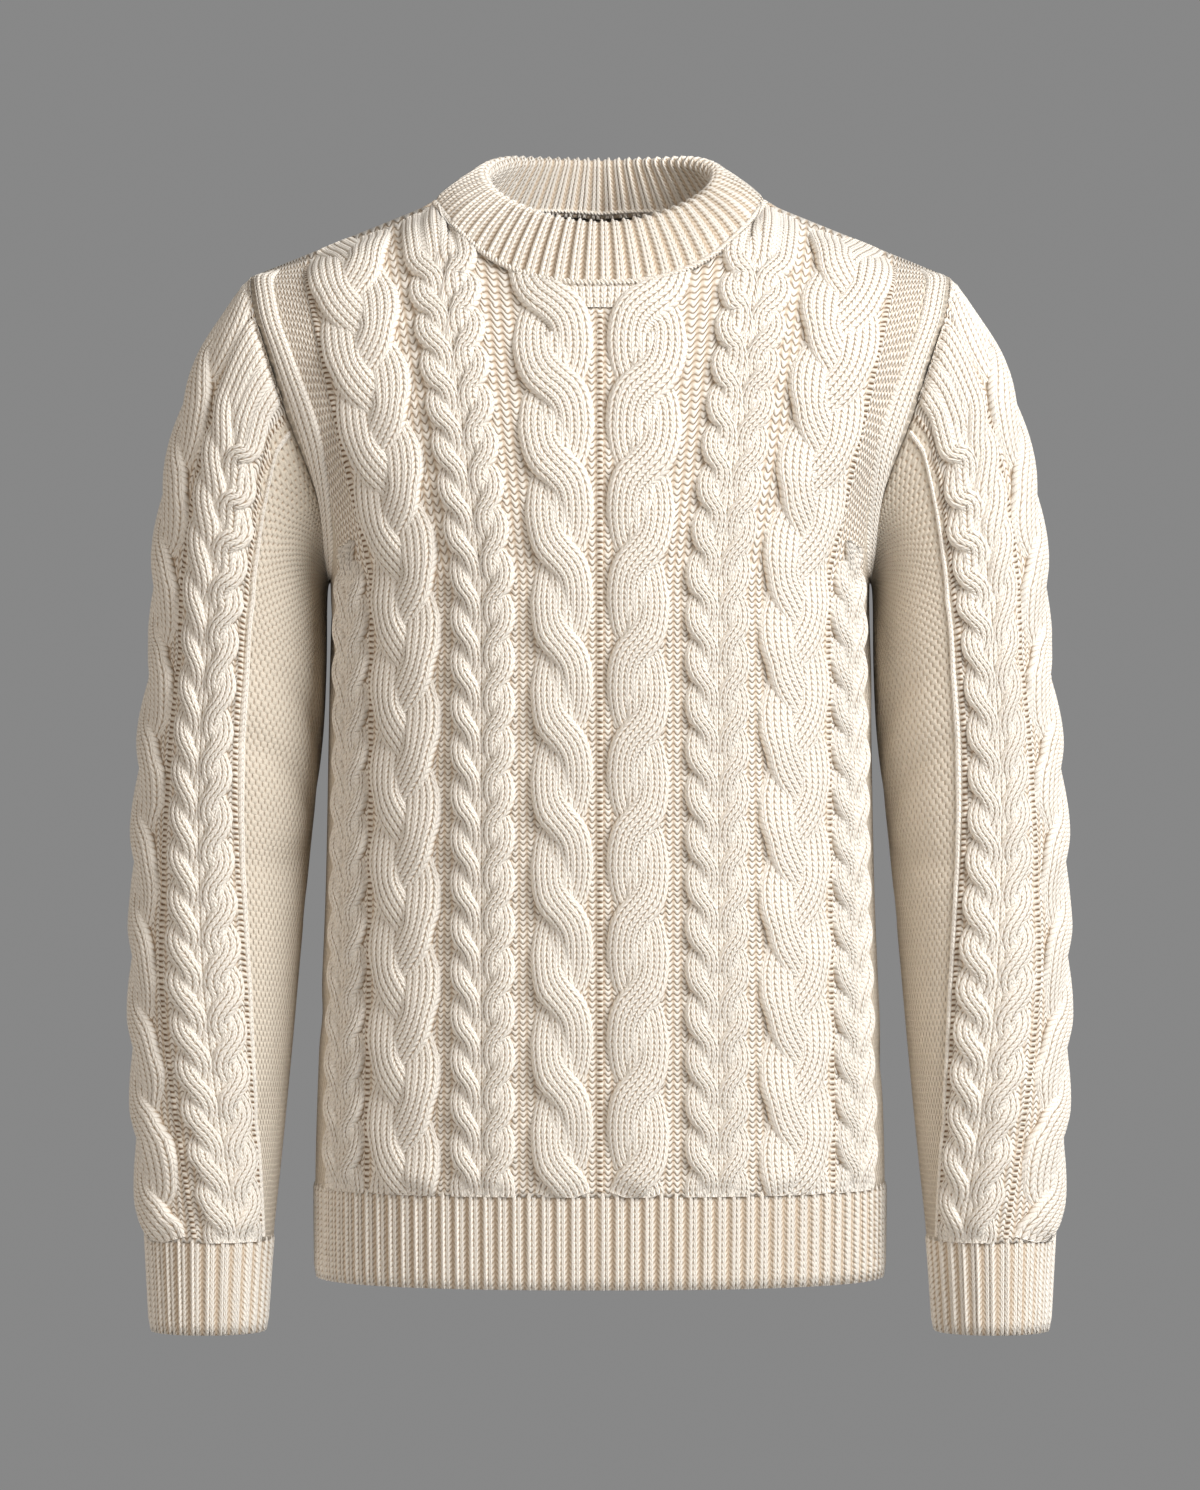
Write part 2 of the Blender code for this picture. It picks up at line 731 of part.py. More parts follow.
def sleeve(name, side):
    """One sleeve, from the armhole to its cuff."""
    rings = sleeve_rings()
    rows, count = rings.shape[:2]
    heights = sleeve_relief(rows, count)
    normals = tube_normals(rings)
    _, outward, normal = armhole_rims()
    normals[0] = outward + RIM_TILT * normal
    normals[0] /= np.linalg.norm(normals[0], axis=1, keepdims=True)
    normals[rows - 1, :, 2] = 0.0
    normals[rows - 1] /= np.linalg.norm(normals[rows - 1], axis=1, keepdims=True)
    outer = rings + normals * heights[:, :, None]
    inner = rings - normals * WALL

    mirror = np.array([side, 1, 1])
    solid = Solid()
    numbers = [solid.add(ring * mirror) for ring in outer]
    closed = [ring + ring[:1] for ring in numbers]
    solid.sheet(closed, rising_cells(np.concatenate([heights, heights[:, :1]], axis=1)))
    arm_rows = range(rows - 1 - ARM_INNER_STEP, CAP_INNER_ROWS[0], -ARM_INNER_STEP)
    inner_rings = [inner[rows - 1]] + [inner[i][::2] for i in arm_rows]
    inner_rings += [inner[i] for i in CAP_INNER_ROWS]
    previous = numbers[-1]
    for ring in inner_rings:
        current = solid.add(ring * mirror)
        solid.bridge(previous, current)
        previous = current
    solid.bridge(previous, numbers[0])
    return solid.build(name)


def ribbed_ring(points, normals, rise):
    """Every second point of a ring lifted to the crest of a rib."""
    lift = np.array([rise if n % 2 == 0 else 0.0 for n in range(len(points))])
    return points + normals * lift[:, None]


def cuff(name, side):
    """The ribbed cuff below a sleeve."""
    count = 2 * CUFF_RIBS
    angles = [2 * math.pi * n / count for n in range(count)]
    mirror = np.array([side, 1, 1])
    heights = [CUFF_TOP_Z - SEAM_GAP, CUFF_BOTTOM_Z]
    rings = np.array([[arm_point(a, z) for a in angles] for z in heights])
    normals = tube_normals(rings)
    normals[:, :, 2] = 0.0
    outer = [ribbed_ring(r, n, CUFF_RIB_RISE) for r, n in zip(rings, normals)]
    inner = [r[::4] - n[::4] * WALL for r, n in zip(rings, normals)]
    solid = Solid()
    solid.rings([ring * mirror for ring in outer + inner[::-1]])
    return solid.build(name)


# ---------------------------------------------------------------- hem rib


def hem_rib(name, face):
    """The ribbed hem below a panel, from side seam to side seam."""
    solid = Solid()
    count = 2 * HEM_RIBS
    heights = [HEM_BOTTOM_Z, HEM_TOP_Z - SEAM_GAP]
    grid = []
    for z in heights:
        distances = np.linspace(0.0, 1.0, HEM_RIBS + 1)
        whole = angles_length(face, z)
        angles = angles_round(face, z, distances[:-1] * whole) + [math.pi / 2]
        half = [torso_point(face, section_x(face, a, z), z) for a in angles]
        half[-1][1] = 0.0
        left = [p * np.array([-1, 1, 1]) for p in half[:0:-1]]
        grid.append(left + half)
    grid = np.array(grid)
    normals = surface_normals(grid, -face)
    normals[:, (0, -1), 1] = 0.0
    normals[:, :, 2] = 0.0
    normals /= np.linalg.norm(normals, axis=2, keepdims=True)
    grid[:, (0, -1), 1] = face * SEAM_GAP / 2
    lift = np.array([HEM_RIB_RISE if n % 2 else 0.0 for n in range(count + 1)])
    relief_grid = np.tile(lift, (len(heights), 1))
    outer = [solid.add(row) for row in grid + normals * relief_grid[:, :, None]]
    solid.sheet(outer, rising_cells(relief_grid))
    kept = range(0, count + 1, 4)
    inner = [solid.add(row[kept]) for row in grid - normals * WALL]
    solid.sheet(inner, np.ones((len(inner), len(kept))))
    rows = range(len(heights))
    close_wall(solid, outer, rows, range(count + 1), inner, rows, kept)
    return solid.build(name)


def angles_length(face, z):
    """Distance round half a panel from its middle to the side seam."""
    angles = np.linspace(0.0, math.pi / 2, 181)
    points = np.array([torso_point(face, section_x(face, a, z), z) for a in angles])
    return float(np.sum(np.linalg.norm(np.diff(points, axis=0), axis=1)))


# ---------------------------------------------------------------- collar


def neckline(face):
    """Corners of a panel's neckline on the wearer's left, from its middle outwards."""
    tops = [line.top_x for line in PANEL_LINES if line.top_x <= NECK_HALF_WIDTH]
    points = [torso_point(face, x, top_z(face, x)) for x in tops]
    return np.array(points)


def collar_base(turn):
    """Point of the neckline: turn 0 is the front, 90 degrees the wearer's left shoulder."""
    face = FRONT if math.cos(turn) > 0 else BACK
    corners = neckline(face)
    x = NECK_HALF_WIDTH * abs(math.sin(turn))
    y = float(np.interp(x, corners[:, 0], corners[:, 1]))
    z = float(np.interp(x, corners[:, 0], corners[:, 2]))
    return np.array([math.copysign(x, math.sin(turn)), y, z])


def collar_top(turn):
    """Point of the collar's top edge, low at the front and level from the sides to the back."""
    round_half = abs(math.atan2(math.sin(turn), math.cos(turn)))
    z = mix(COLLAR_FRONT_Z, COLLAR_SIDE_Z, ease(round_half / math.radians(135)))
    y = COLLAR_CENTRE_Y - COLLAR_HALF_DEPTH * math.cos(turn)
    return np.array([COLLAR_HALF_WIDTH * math.sin(turn), y, z])


def collar_out(turn):
    """Way that the collar's outer side faces, square to its slope."""
    step = math.radians(2)
    tangent = collar_top(turn + step) - collar_top(turn - step)
    return unit(np.cross(tangent, collar_top(turn) - collar_base(turn)))


def collar(name):
    """The folded rib band round the neck, with a round top edge."""
    count = 2 * COLLAR_RIBS
    turns = [2 * math.pi * n / count for n in range(count)]
    base = np.array([collar_base(t) for t in turns])
    rise = np.array([collar_top(t) for t in turns]) - base
    length = np.linalg.norm(rise, axis=1, keepdims=True)
    up = rise / length
    out = np.array([collar_out(t) for t in turns])
    half = COLLAR_WALL / 2
    # Lift along the collar, share of its height, place outwards, and share of the ribs' height
    profile = (
        (SEAM_GAP, 0.0, 0.0, 0.0),
        (0.0, 0.35, COLLAR_BULGE, 1.0),
        (0.0, 0.75, COLLAR_BULGE / 2, 1.0),
        (-half, 1.0, 0.0, 1.0),
        (-half * 0.3, 1.0, -half * 0.3, 0.5),
        (0.0, 1.0, -half, 0.0),
    )
    rings = []
    for lift, share, bulge, rib in profile:
        points = base + up * (length * share + lift) + out * bulge
        rings.append(ribbed_ring(points, out, COLLAR_RIB_RISE * rib))
    for lift, share, depth in ((-half * 0.3, 1.0, 0.87), (-half, 1.0, 1.0), (0.0, 0.5, 1.0)):
        points = base + up * (length * share + lift) - out * COLLAR_WALL * depth
        rings.append(points[::2])
    level = out * np.array([1, 1, 0])
    level /= np.linalg.norm(level, axis=1, keepdims=True)
    rings.append((base + up * SEAM_GAP - level * COLLAR_WALL)[::2])
    solid = Solid()
    solid.rings(rings)
    return solid.build(name)


def main():
    for item in list(bpy.data.objects):
        bpy.data.objects.remove(item, do_unlink=True)
    body_panel("front_panel", FRONT)
    body_panel("back_panel", BACK)
    sleeve("sleeve_left", 1)
    sleeve("sleeve_right", -1)
    cuff("cuff_left", 1)
    cuff("cuff_right", -1)
    hem_rib("hem_rib_front", FRONT)
    hem_rib("hem_rib_back", BACK)
    collar("collar")


main()
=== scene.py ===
"""Looks of a cable knit sweater: the knitted shells, every cable strand, the ribs and the yarn.

Metres, +Z up, the front faces -Y, the wearer's left is +X. Every surface is worked out from the
same sizes as the solids that it replaces.
"""

import math
from collections import namedtuple

import bpy
import numpy as np
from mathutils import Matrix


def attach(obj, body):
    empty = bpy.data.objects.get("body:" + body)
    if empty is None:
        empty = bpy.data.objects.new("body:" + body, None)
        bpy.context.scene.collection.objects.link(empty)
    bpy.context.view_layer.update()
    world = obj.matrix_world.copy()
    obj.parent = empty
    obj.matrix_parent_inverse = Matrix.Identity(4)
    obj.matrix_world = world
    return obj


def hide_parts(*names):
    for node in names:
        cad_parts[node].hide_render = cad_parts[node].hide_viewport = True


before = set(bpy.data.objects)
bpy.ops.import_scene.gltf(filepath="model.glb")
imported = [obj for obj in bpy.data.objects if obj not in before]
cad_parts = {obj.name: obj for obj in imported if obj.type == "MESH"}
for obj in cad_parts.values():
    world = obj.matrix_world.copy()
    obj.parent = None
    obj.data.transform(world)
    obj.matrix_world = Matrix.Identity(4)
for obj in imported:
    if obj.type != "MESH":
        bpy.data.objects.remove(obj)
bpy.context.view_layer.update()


class Table:
    """Columns of numbers, read between the places of the first one."""

    def __init__(self, names, *rows):
        columns = np.array(sorted(rows), dtype=float).T
        self.places, self.columns = columns[0], dict(zip(names.split(), columns))

    def straight(self, name, at):
        """A column's values on straight lines between its numbers."""
        return np.interp(at, self.places, self.columns[name])

    def smooth(self, name, at):
        """A column's value at one place, on a smooth curve through its numbers."""
        xs, ys = self.places, self.columns[name]
        slopes = np.gradient(ys, xs)
        at = float(np.clip(at, xs[0], xs[-1]))
        k = int(np.clip(np.searchsorted(xs, at) - 1, 0, len(xs) - 2))
        step = xs[k + 1] - xs[k]
        t = (at - xs[k]) / step
        start = ys[k] * (1 + 2 * t) + slopes[k] * step * t
        end = ys[k + 1] * (3 - 2 * t) - slopes[k + 1] * step * (1 - t)
        return start * (1 - t) ** 2 + end * t**2


# ---------------- sizes shared with the solids

SEAM_GAP = 0.0003
COLLAR_WALL = 0.0080
HEM_BOTTOM_Z = -0.6870
HEM_TOP_Z = -0.6280
ARMPIT_Z = -0.2435
SHOULDER_Z = -0.0480
CUFF_TOP_Z = -0.6600
CUFF_BOTTOM_Z = -0.7190
NECK_HALF_WIDTH = 0.1040
NECK_FRONT_DROP = 0.0590
NECK_BACK_DROP = 0.0040
SHOULDER_HALF_WIDTH = 0.2225
SHOULDER_ROUND = 0.1150
SHOULDER_FORWARD = 0.0080
BODY_POWER = 2.4
SLEEVE_POWER = 2.1
ARMHOLE_FRONT = 0.0630
ARMHOLE_BACK = 0.0660
ARMHOLE_MIDDLE_Z = (SHOULDER_Z + ARMPIT_Z) / 2
ARMHOLE_HALF = (SHOULDER_Z - ARMPIT_Z) / 2
BODY_ROWS = 28
YOKE_ROWS = 12
BODY_TOP_ROW = BODY_ROWS + YOKE_ROWS
CAP_ROWS = 12
ARM_ROWS = 28
ARM_LAST_ROW = CAP_ROWS + ARM_ROWS
ROWS_A_CROSSING = 4
PITCH_SHRINK = 0.048
ROPE_SHRINK = 0.020
MOSS_LINES = 3
COLLAR_HALF_WIDTH = 0.0745
COLLAR_HALF_DEPTH = 0.0755
COLLAR_CENTRE_Y = -0.0060
COLLAR_FRONT_Z = -0.0190
COLLAR_SIDE_Z = 0.0330
COLLAR_BULGE = 0.0015
HEM_RIBS = 54
CUFF_RIBS = 28
COLLAR_RIBS = 66
FRONT, BACK = -1, 1

TORSO = Table(
    "z half_width front back",
    (-0.6870, 0.1815, 0.1190, 0.1060),
    (-0.6280, 0.1820, 0.1200, 0.1060),
    (-0.5400, 0.1795, 0.1220, 0.1045),
    (-0.4460, 0.1755, 0.1240, 0.1040),
    (-0.3500, 0.1735, 0.1265, 0.1080),
    (-0.2572, 0.1722, 0.1270, 0.1130),
    (-0.2000, 0.1722, 0.1240, 0.1160),
    (-0.1500, 0.1722, 0.1160, 0.1165),
    (-0.1000, 0.1722, 0.1040, 0.1120),
    (-0.0590, 0.1722, 0.0925, 0.1060),
    (0.0000, 0.1722, 0.0840, 0.0960),
)
ARMHOLE = Table(
    "z x",
    (-0.2435, 0.1725),
    (-0.2150, 0.1738),
    (-0.1930, 0.1775),
    (-0.1650, 0.1870),
    (-0.1380, 0.1975),
    (-0.1140, 0.2055),
    (-0.0950, 0.2115),
    (-0.0710, 0.2190),
    (-0.0480, 0.2225),
)
SLEEVE = Table(
    "z outer_x inner_x centre_y half_depth",
    (-0.2850, 0.2825, 0.1745, -0.0020, 0.0690),
    (-0.3350, 0.2890, 0.1765, -0.0050, 0.0670),
    (-0.4000, 0.2935, 0.1835, -0.0100, 0.0635),
    (-0.4700, 0.2950, 0.1900, -0.0160, 0.0595),
    (-0.5400, 0.2945, 0.1960, -0.0220, 0.0545),
    (-0.6100, 0.2915, 0.2025, -0.0280, 0.0485),
    (-0.6600, 0.2885, 0.2075, -0.0320, 0.0435),
    (-0.7190, 0.2850, 0.2115, -0.0360, 0.0400),
)
CAP_WAYS = (
    (0.62, 0.00, -0.78, 0.0450),
    (0.75, 0.28, -0.55, 0.0300),
    (1.00, 0.00, 0.00, 0.0025),
)
CAP_HOLD_TOP = 0.45
CAP_HOLD_UNDERARM = 0.50
ARM_TOP_OUTER_Z = -0.2700
ARM_TOP_INNER_Z = -0.3000

# Lines up half a panel: how far round the body they lie, and their x at the shoulder or neck
LINE_ROUNDS = (0.0, 0.0136, 0.0238, 0.0339, 0.0485, 0.0632, 0.0735, 0.0838, 0.0980, 0.1142,
               0.1265, 0.1388, 0.1535)
LINE_TOPS = (0.0, 0.0165, 0.0300, 0.0460, 0.0700, 0.0930, 0.1040, 0.1150, 0.1320, 0.1490,
             0.1625, 0.1750, 0.1890)
SIDE_ROUNDS = (0.1765, 0.1990, 0.2250)
EDGE_ROUND = 0.2530
# Lines down half a sleeve, from its outer line to the underarm
ARM_ROUNDS = (0.0, 0.0142, 0.0255, 0.0368, 0.0540, 0.0705, 0.0810, 0.0915, 0.1060)
UNDERARM_ROUND = 0.2000

# ---------------- knitting

WALL = 0.0028
COURSE = 0.0036
WALE_RIDGE = 0.00080
SHELL_STEP = 0.0050
WIDE_STEP = 0.0033
NARROW_STEP = 0.0030
BACK_STEP_SCALE = 1.25
SINK = 0.0012
POINTS_A_WALE = 3
STRAND_POWER = 3.2
# A bright place of every stitch, for rims and caps
PLAIN_KNIT = (0.25, 0.875)

# Where each cable lies round the body, its half width, its strands' thickness and the height
# that the upper one rises
Cable = namedtuple("Cable", "kind centre half height rise")
BODY_CABLES = (
    Cable("rope", 0.0238, 0.0205, 0.0046, 0.0024),
    Cable("plait", 0.0735, 0.0208, 0.0043, 0.0019),
    Cable("braid", 0.1265, 0.0250, 0.0044, 0.0021),
    Cable("side", 0.1765, 0.0200, 0.0042, 0.0021),
)
SIDE_TOP_Z = -0.2150
# Paths run on past a seam, so that every wale is cut along it
PAST_SHOULDER = 0.030
PAST_ARMHOLE_ROWS = 3.0
# A strand's thickness where it runs into the ribs, as a share, and how soon it is whole
END_SHARE = 0.16
END_REACH = 0.012
END_ROWS = 0.9
ROPE_WALES = 6
PLAIT_WALES = 4
# Thickness and rise of a sleeve's strands
ARM_ROPE = (0.0046, 0.0022)
ARM_PLAIT = (0.0042, 0.0019)
GROUND_WALE = 0.0048
BODY_ROW = (ARMPIT_Z - HEM_TOP_Z) / BODY_ROWS
ARM_ROW = 0.0134
# The purl gutter between a sleeve's rope and plait, and the ladder between its plait and moss
ARM_LINES = Table(
    "row gutter gutter_width ladder ladder_width",
    (0.0, 0.0350, 0.0056, 0.0780, 0.0040),
    (2.0, 0.0405, 0.0058, 0.0795, 0.0040),
    (5.0, 0.0480, 0.0062, 0.0870, 0.0040),
    (7.0, 0.0525, 0.0064, 0.0935, 0.0040),
    (9.5, 0.0555, 0.0066, 0.0995, 0.0040),
    (13.0, 0.0568, 0.0070, 0.1020, 0.0040),
    (19.5, 0.0555, 0.0076, 0.1035, 0.0042),
    (28.0, 0.0508, 0.0086, 0.1095, 0.0036),
    (36.5, 0.0585, 0.0098, 0.1105, 0.0032),
    (40.0, 0.0600, 0.0098, 0.1105, 0.0032),
)
ARM_OUTER_GAP = 0.0015
ARM_LADDER_MOST = 0.0052
CAP_SEAM_ROWS = 0.55
ARM_PLAIT_TOP_Z = -0.1600
SIDE_GUTTER = 0.1540
BAND_HALF = 0.00925
BAND_CROWN = 0.0024
# Rows of the pattern where a body cable's strands cross, and where the crossings end
ROPE_CROSS_ROW = 1.0
PLAIT_CROSS_ROW = 25.4
BRAID_CROSS_ROW = 29
BRAID_ROWS = 12
BRAID_TURN = 0.27 * math.pi
PLAIT_LAST_ROW = 43.4
ROPE_LAST_Z = -0.0700
# The same for a sleeve's cables, whose plait stretches above a row
ARM_ROPE_CROSS_ROW = 2.44
ARM_ROPE_ROWS = 4.42
ARM_PLAIT_CROSS_ROW = 4.35
ARM_PLAIT_EVEN_ROW = 25.0
ARM_PLAIT_STRETCH = 0.028
ARM_PLAIT_SHARP = 0.6
SMOOTH_REACH = 9
LADDER_RISE = 0.0004
LADDER_HALF = 0.0026
YOKE_FAN_LOW = -0.0740
YOKE_FAN_HALF = 0.0330
YOKE_FAN_CROWN = 0.0022
YOKE_FAN_WALES = 14

# The yarn's own colour first; the rest are painted shade: the low parts of a stitch, the gaps
# between stitches and ribs, a darker copy of the yarn for the moss's small hollows, and the holes
# of a ladder
YARN = (0.878, 0.828, 0.760)
YARN_LOW_PAINTED_SHADE = (0.780, 0.692, 0.580)
GAP_PAINTED_SHADE = (0.450, 0.335, 0.235)
YARN_MOSS_PAINTED_SHADE = (0.690, 0.618, 0.520)
RIB_GAP_PAINTED_SHADE = (0.480, 0.365, 0.260)
HOLE_PAINTED_SHADE = (0.170, 0.095, 0.045)


def ease(t):
    t = np.clip(t, 0.0, 1.0)
    return t * t * (3 - 2 * t)


def mix(a, b, t):
    return a + (b - a) * t


def units(vectors):
    return vectors / np.maximum(np.linalg.norm(vectors, axis=-1, keepdims=True), 1e-12)


def lengths(points):
    """Distance along a line of points, at each of them."""
    steps = np.linalg.norm(np.diff(points, axis=0), axis=1)
    return np.concatenate([[0.0], np.cumsum(steps)])


# ---------------- the body's ground


torso_size = TORSO.smooth


def armhole_x(z):
    return ARMHOLE.smooth("x", z)


def ridge_z(x):
    """Height of the shoulder seam."""
    slope = -SHOULDER_Z / (SHOULDER_HALF_WIDTH - NECK_HALF_WIDTH)
    return -(abs(x) - NECK_HALF_WIDTH) * slope


def seam_y(z):
    return -SHOULDER_FORWARD * ease((z - ARMPIT_Z) / (SHOULDER_Z - ARMPIT_Z))


def armhole_depth(face, z):
    """How far the armhole seam stands out from the shoulder seam's plane at a height."""
    depth = ARMHOLE_FRONT if face == FRONT else ARMHOLE_BACK
    return depth * math.sqrt(max(0.0, 1 - ((z - ARMHOLE_MIDDLE_Z) / ARMHOLE_HALF) ** 2))


def depth_at(face, z):
    return torso_size("front" if face == FRONT else "back", z) - face * seam_y(z)


def shoulder_rounding(x, z):
    t = min(1.0, max(0.0, (ridge_z(x) - z) / SHOULDER_ROUND))
    return math.sqrt(1 - (1 - t) ** 2)


def section_reach(face, z):
    """Half width of the whole section that the panel is part of."""
    if z <= ARMPIT_Z:
        return torso_size("half_width", z)
    z = min(z, SHOULDER_Z - 0.004)
    x = armhole_x(z)
    share = armhole_depth(face, z) / (depth_at(face, z) * shoulder_rounding(x, z))
    return x / (1 - min(share, 0.95) ** BODY_POWER) ** (1 / BODY_POWER)


def torso_point(face, x, z):
    """The ground of the front or back at a place seen from the front."""
    across = min(1.0, abs(x) / section_reach(face, z))
    side = (1 - across**BODY_POWER) ** (1 / BODY_POWER)
    out = depth_at(face, z) * shoulder_rounding(x, z) * side
    return np.array([x, seam_y(z) + face * out, z])


def section_angle(face, x, z):
    share = min(1.0, abs(x) / section_reach(face, z))
    return math.asin(share ** (BODY_POWER / 2))


def section_x(face, angle, z):
    return section_reach(face, z) * math.sin(angle) ** (2 / BODY_POWER)


def angles_round(face, z, distances):
    """Section angles at the given distances round the body from its middle, and the whole."""
    angles = np.linspace(0.0, math.pi / 2, 121)
    points = np.array([torso_point(face, section_x(face, a, z), z) for a in angles])
    points[-1, 1] = seam_y(z)
    run = lengths(points)
    return [float(np.interp(d, run, angles)) for d in distances], run[-1]


def neck_z(face, x):
    """Height of the neckline."""
    turn = math.asin(min(1.0, abs(x) / NECK_HALF_WIDTH)) / (math.pi / 2)
    if face == FRONT:
        return -NECK_FRONT_DROP * (1 - ease(turn**1.4))
    return -NECK_BACK_DROP * (1 - ease(turn**4))


def top_z(face, x):
    return neck_z(face, x) if x < NECK_HALF_WIDTH else ridge_z(x)


def armhole_point(face, turn):
    """Point of the armhole seam: turn 0 is the shoulder, 1 the underarm."""
    z = ARMHOLE_MIDDLE_Z + ARMHOLE_HALF * math.cos(math.pi * turn)
    return np.array([armhole_x(z), seam_y(z) + face * armhole_depth(face, z), z])


def half_panel(face):
    """Rows of ground points from the hem rib to the neckline and shoulder, wearer's left half."""
    rows = []
    for i in range(BODY_ROWS + 1):
        z = mix(HEM_TOP_Z, ARMPIT_Z, i / BODY_ROWS)
        angles, _ = angles_round(face, z, LINE_ROUNDS + SIDE_ROUNDS)
        row = [torso_point(face, section_x(face, a, z), z) for a in angles]
        edge_x = armhole_x(ARMPIT_Z) if i == BODY_ROWS else torso_size("half_width", z)
        rows.append(row + [np.array([edge_x, seam_y(z), z])])
    base = rows[-1]
    last = len(LINE_ROUNDS) - 1
    side_angles = [section_angle(face, p[0], p[2]) for p in base[last:-1]] + [math.pi / 2]
    shares = [(a - side_angles[0]) / (side_angles[-1] - side_angles[0]) for a in side_angles]
    for r in range(1, YOKE_ROWS + 1):
        w = r / YOKE_ROWS
        row = []
        for top_x, start in zip(LINE_TOPS, base):
            z = mix(ARMPIT_Z, top_z(face, top_x), w)
            row.append(torso_point(face, mix(start[0], top_x, w), z))
        inner, edge = row[-1], armhole_point(face, 1 - w)
        inner_angle = section_angle(face, inner[0], inner[2])
        edge_angle = section_angle(face, edge[0], edge[2])
        for share in shares[1:-1]:
            if r == YOKE_ROWS:
                x = mix(inner[0], edge[0], share)
                row.append(np.array([x, seam_y(SHOULDER_Z), ridge_z(x)]))
                continue
            z = mix(inner[2], edge[2], share)
            x = section_x(face, mix(inner_angle, edge_angle, share), z)
            row.append(torso_point(face, x, z))
        rows.append(row + [edge])
    return np.array(rows)


def row_at(z, shrink=PITCH_SHRINK):
    """Rows of the pattern counted from the hem, closer together up the chest."""
    pitch = ROWS_A_CROSSING * BODY_ROW
    low = (np.minimum(z, ARMPIT_Z) - HEM_TOP_Z) / pitch
    rise = np.maximum(0.0, z - ARMPIT_Z)
    return ROWS_A_CROSSING * (low - np.log(1 - shrink * rise / pitch) / shrink)


# ---------------- the sleeve's ground


sleeve_size = SLEEVE.smooth
arm_line = ARM_LINES.straight


def arm_point(angle, z):
    """Ground of the wearer's left sleeve: angle 0 is the outer line, pi the underarm."""
    outer, inner = sleeve_size("outer_x", z), sleeve_size("inner_x", z)
    half = (outer - inner) / 2
    power = 2 / SLEEVE_POWER
    cosine, sine = math.cos(angle), math.sin(angle)
    x = (outer + inner) / 2 + half * math.copysign(abs(cosine) ** power, cosine)
    depth = sleeve_size("half_depth", z) * math.copysign(abs(sine) ** power, sine)
    return np.array([x, sleeve_size("centre_y", z) - depth, z])


def arm_angles(z):
    """Angles of the sleeve's lines at a height, from its outer line to the underarm."""
    angles = np.linspace(0.0, math.pi, 121)
    points = np.array([arm_point(a, z) for a in angles])
    run = lengths(points)
    moss = [mix(ARM_ROUNDS[-1], run[-1], n / (MOSS_LINES + 1)) for n in range(1, MOSS_LINES + 1)]
    return [float(np.interp(d, run, angles)) for d in [*ARM_ROUNDS, *moss]] + [math.pi]


def arm_ring(share):
    """Ring of ground points round the arm, share 0 at its top and 1 at the cuff."""
    outer_z = mix(ARM_TOP_OUTER_Z, CUFF_TOP_Z, share)
    inner_z = mix(ARM_TOP_INNER_Z, CUFF_TOP_Z, share)
    front = arm_angles((outer_z + inner_z) / 2)
    angles = front + [-a for a in front[-2:0:-1]]
    return np.array([arm_point(a, mix(outer_z, inner_z, (1 - math.cos(a)) / 2)) for a in angles])


def armhole_loop():
    """The armhole's points, and its way to the sleeve."""
    turns = [n / YOKE_ROWS for n in range(YOKE_ROWS + 1)]
    front = [armhole_point(FRONT, t) for t in turns]
    back = [armhole_point(BACK, t) for t in turns[1:-1]]
    loop = np.array(front + back[::-1])
    middle = loop.mean(axis=0)
    normal = units(np.sum(np.cross(loop - middle, np.roll(loop, -1, axis=0) - middle), axis=0))
    return loop, normal if normal[0] > 0 else -normal


def sleeve_rings():
    """Rings of ground points from the armhole down to the cuff."""
    loop, normal = armhole_loop()
    first = loop + normal * SEAM_GAP
    top, below = arm_ring(0.0), arm_ring(1 / ARM_ROWS)
    count = len(first)
    rings = [first]
    numbers = range(len(CAP_WAYS))
    for k in range(1, CAP_ROWS):
        t = k / CAP_ROWS
        ring = []
        for n in range(count):
            turn = min(n, count - n) / YOKE_ROWS
            side = FRONT if n < YOKE_ROWS else BACK
            side = 0 if n in (0, YOKE_ROWS) else side
            place = turn * (len(CAP_WAYS) - 1)
            x, y, z, keep = [float(np.interp(place, numbers, v)) for v in zip(*CAP_WAYS)]
            reach = np.linalg.norm(top[n] - first[n])
            hold = reach * mix(CAP_HOLD_TOP, CAP_HOLD_UNDERARM, turn)
            a = first[n] + units(np.array([x, y * side, z])) * keep
            b = top[n] + units(top[n] - below[n]) * hold
            point = first[n] * (1 - t) ** 3 + a * 3 * t * (1 - t) ** 2
            ring.append(point + b * 3 * t**2 * (1 - t) + top[n] * t**3)
        rings.append(np.array(ring))
    rings += [arm_ring(k / ARM_ROWS) for k in range(ARM_ROWS + 1)]
    return np.array(rings)


# ---------------- smooth surfaces


def spline_weights(t):
    return (
        -0.5 * t + t**2 - 0.5 * t**3,
        1 - 2.5 * t**2 + 1.5 * t**3,
        0.5 * t + 2 * t**2 - 1.5 * t**3,
        -0.5 * t**2 + 0.5 * t**3,
    )


# A seam at one row: how far strands sink towards it, in rows, and from which place across
Seam = namedtuple("Seam", "row reach low start")


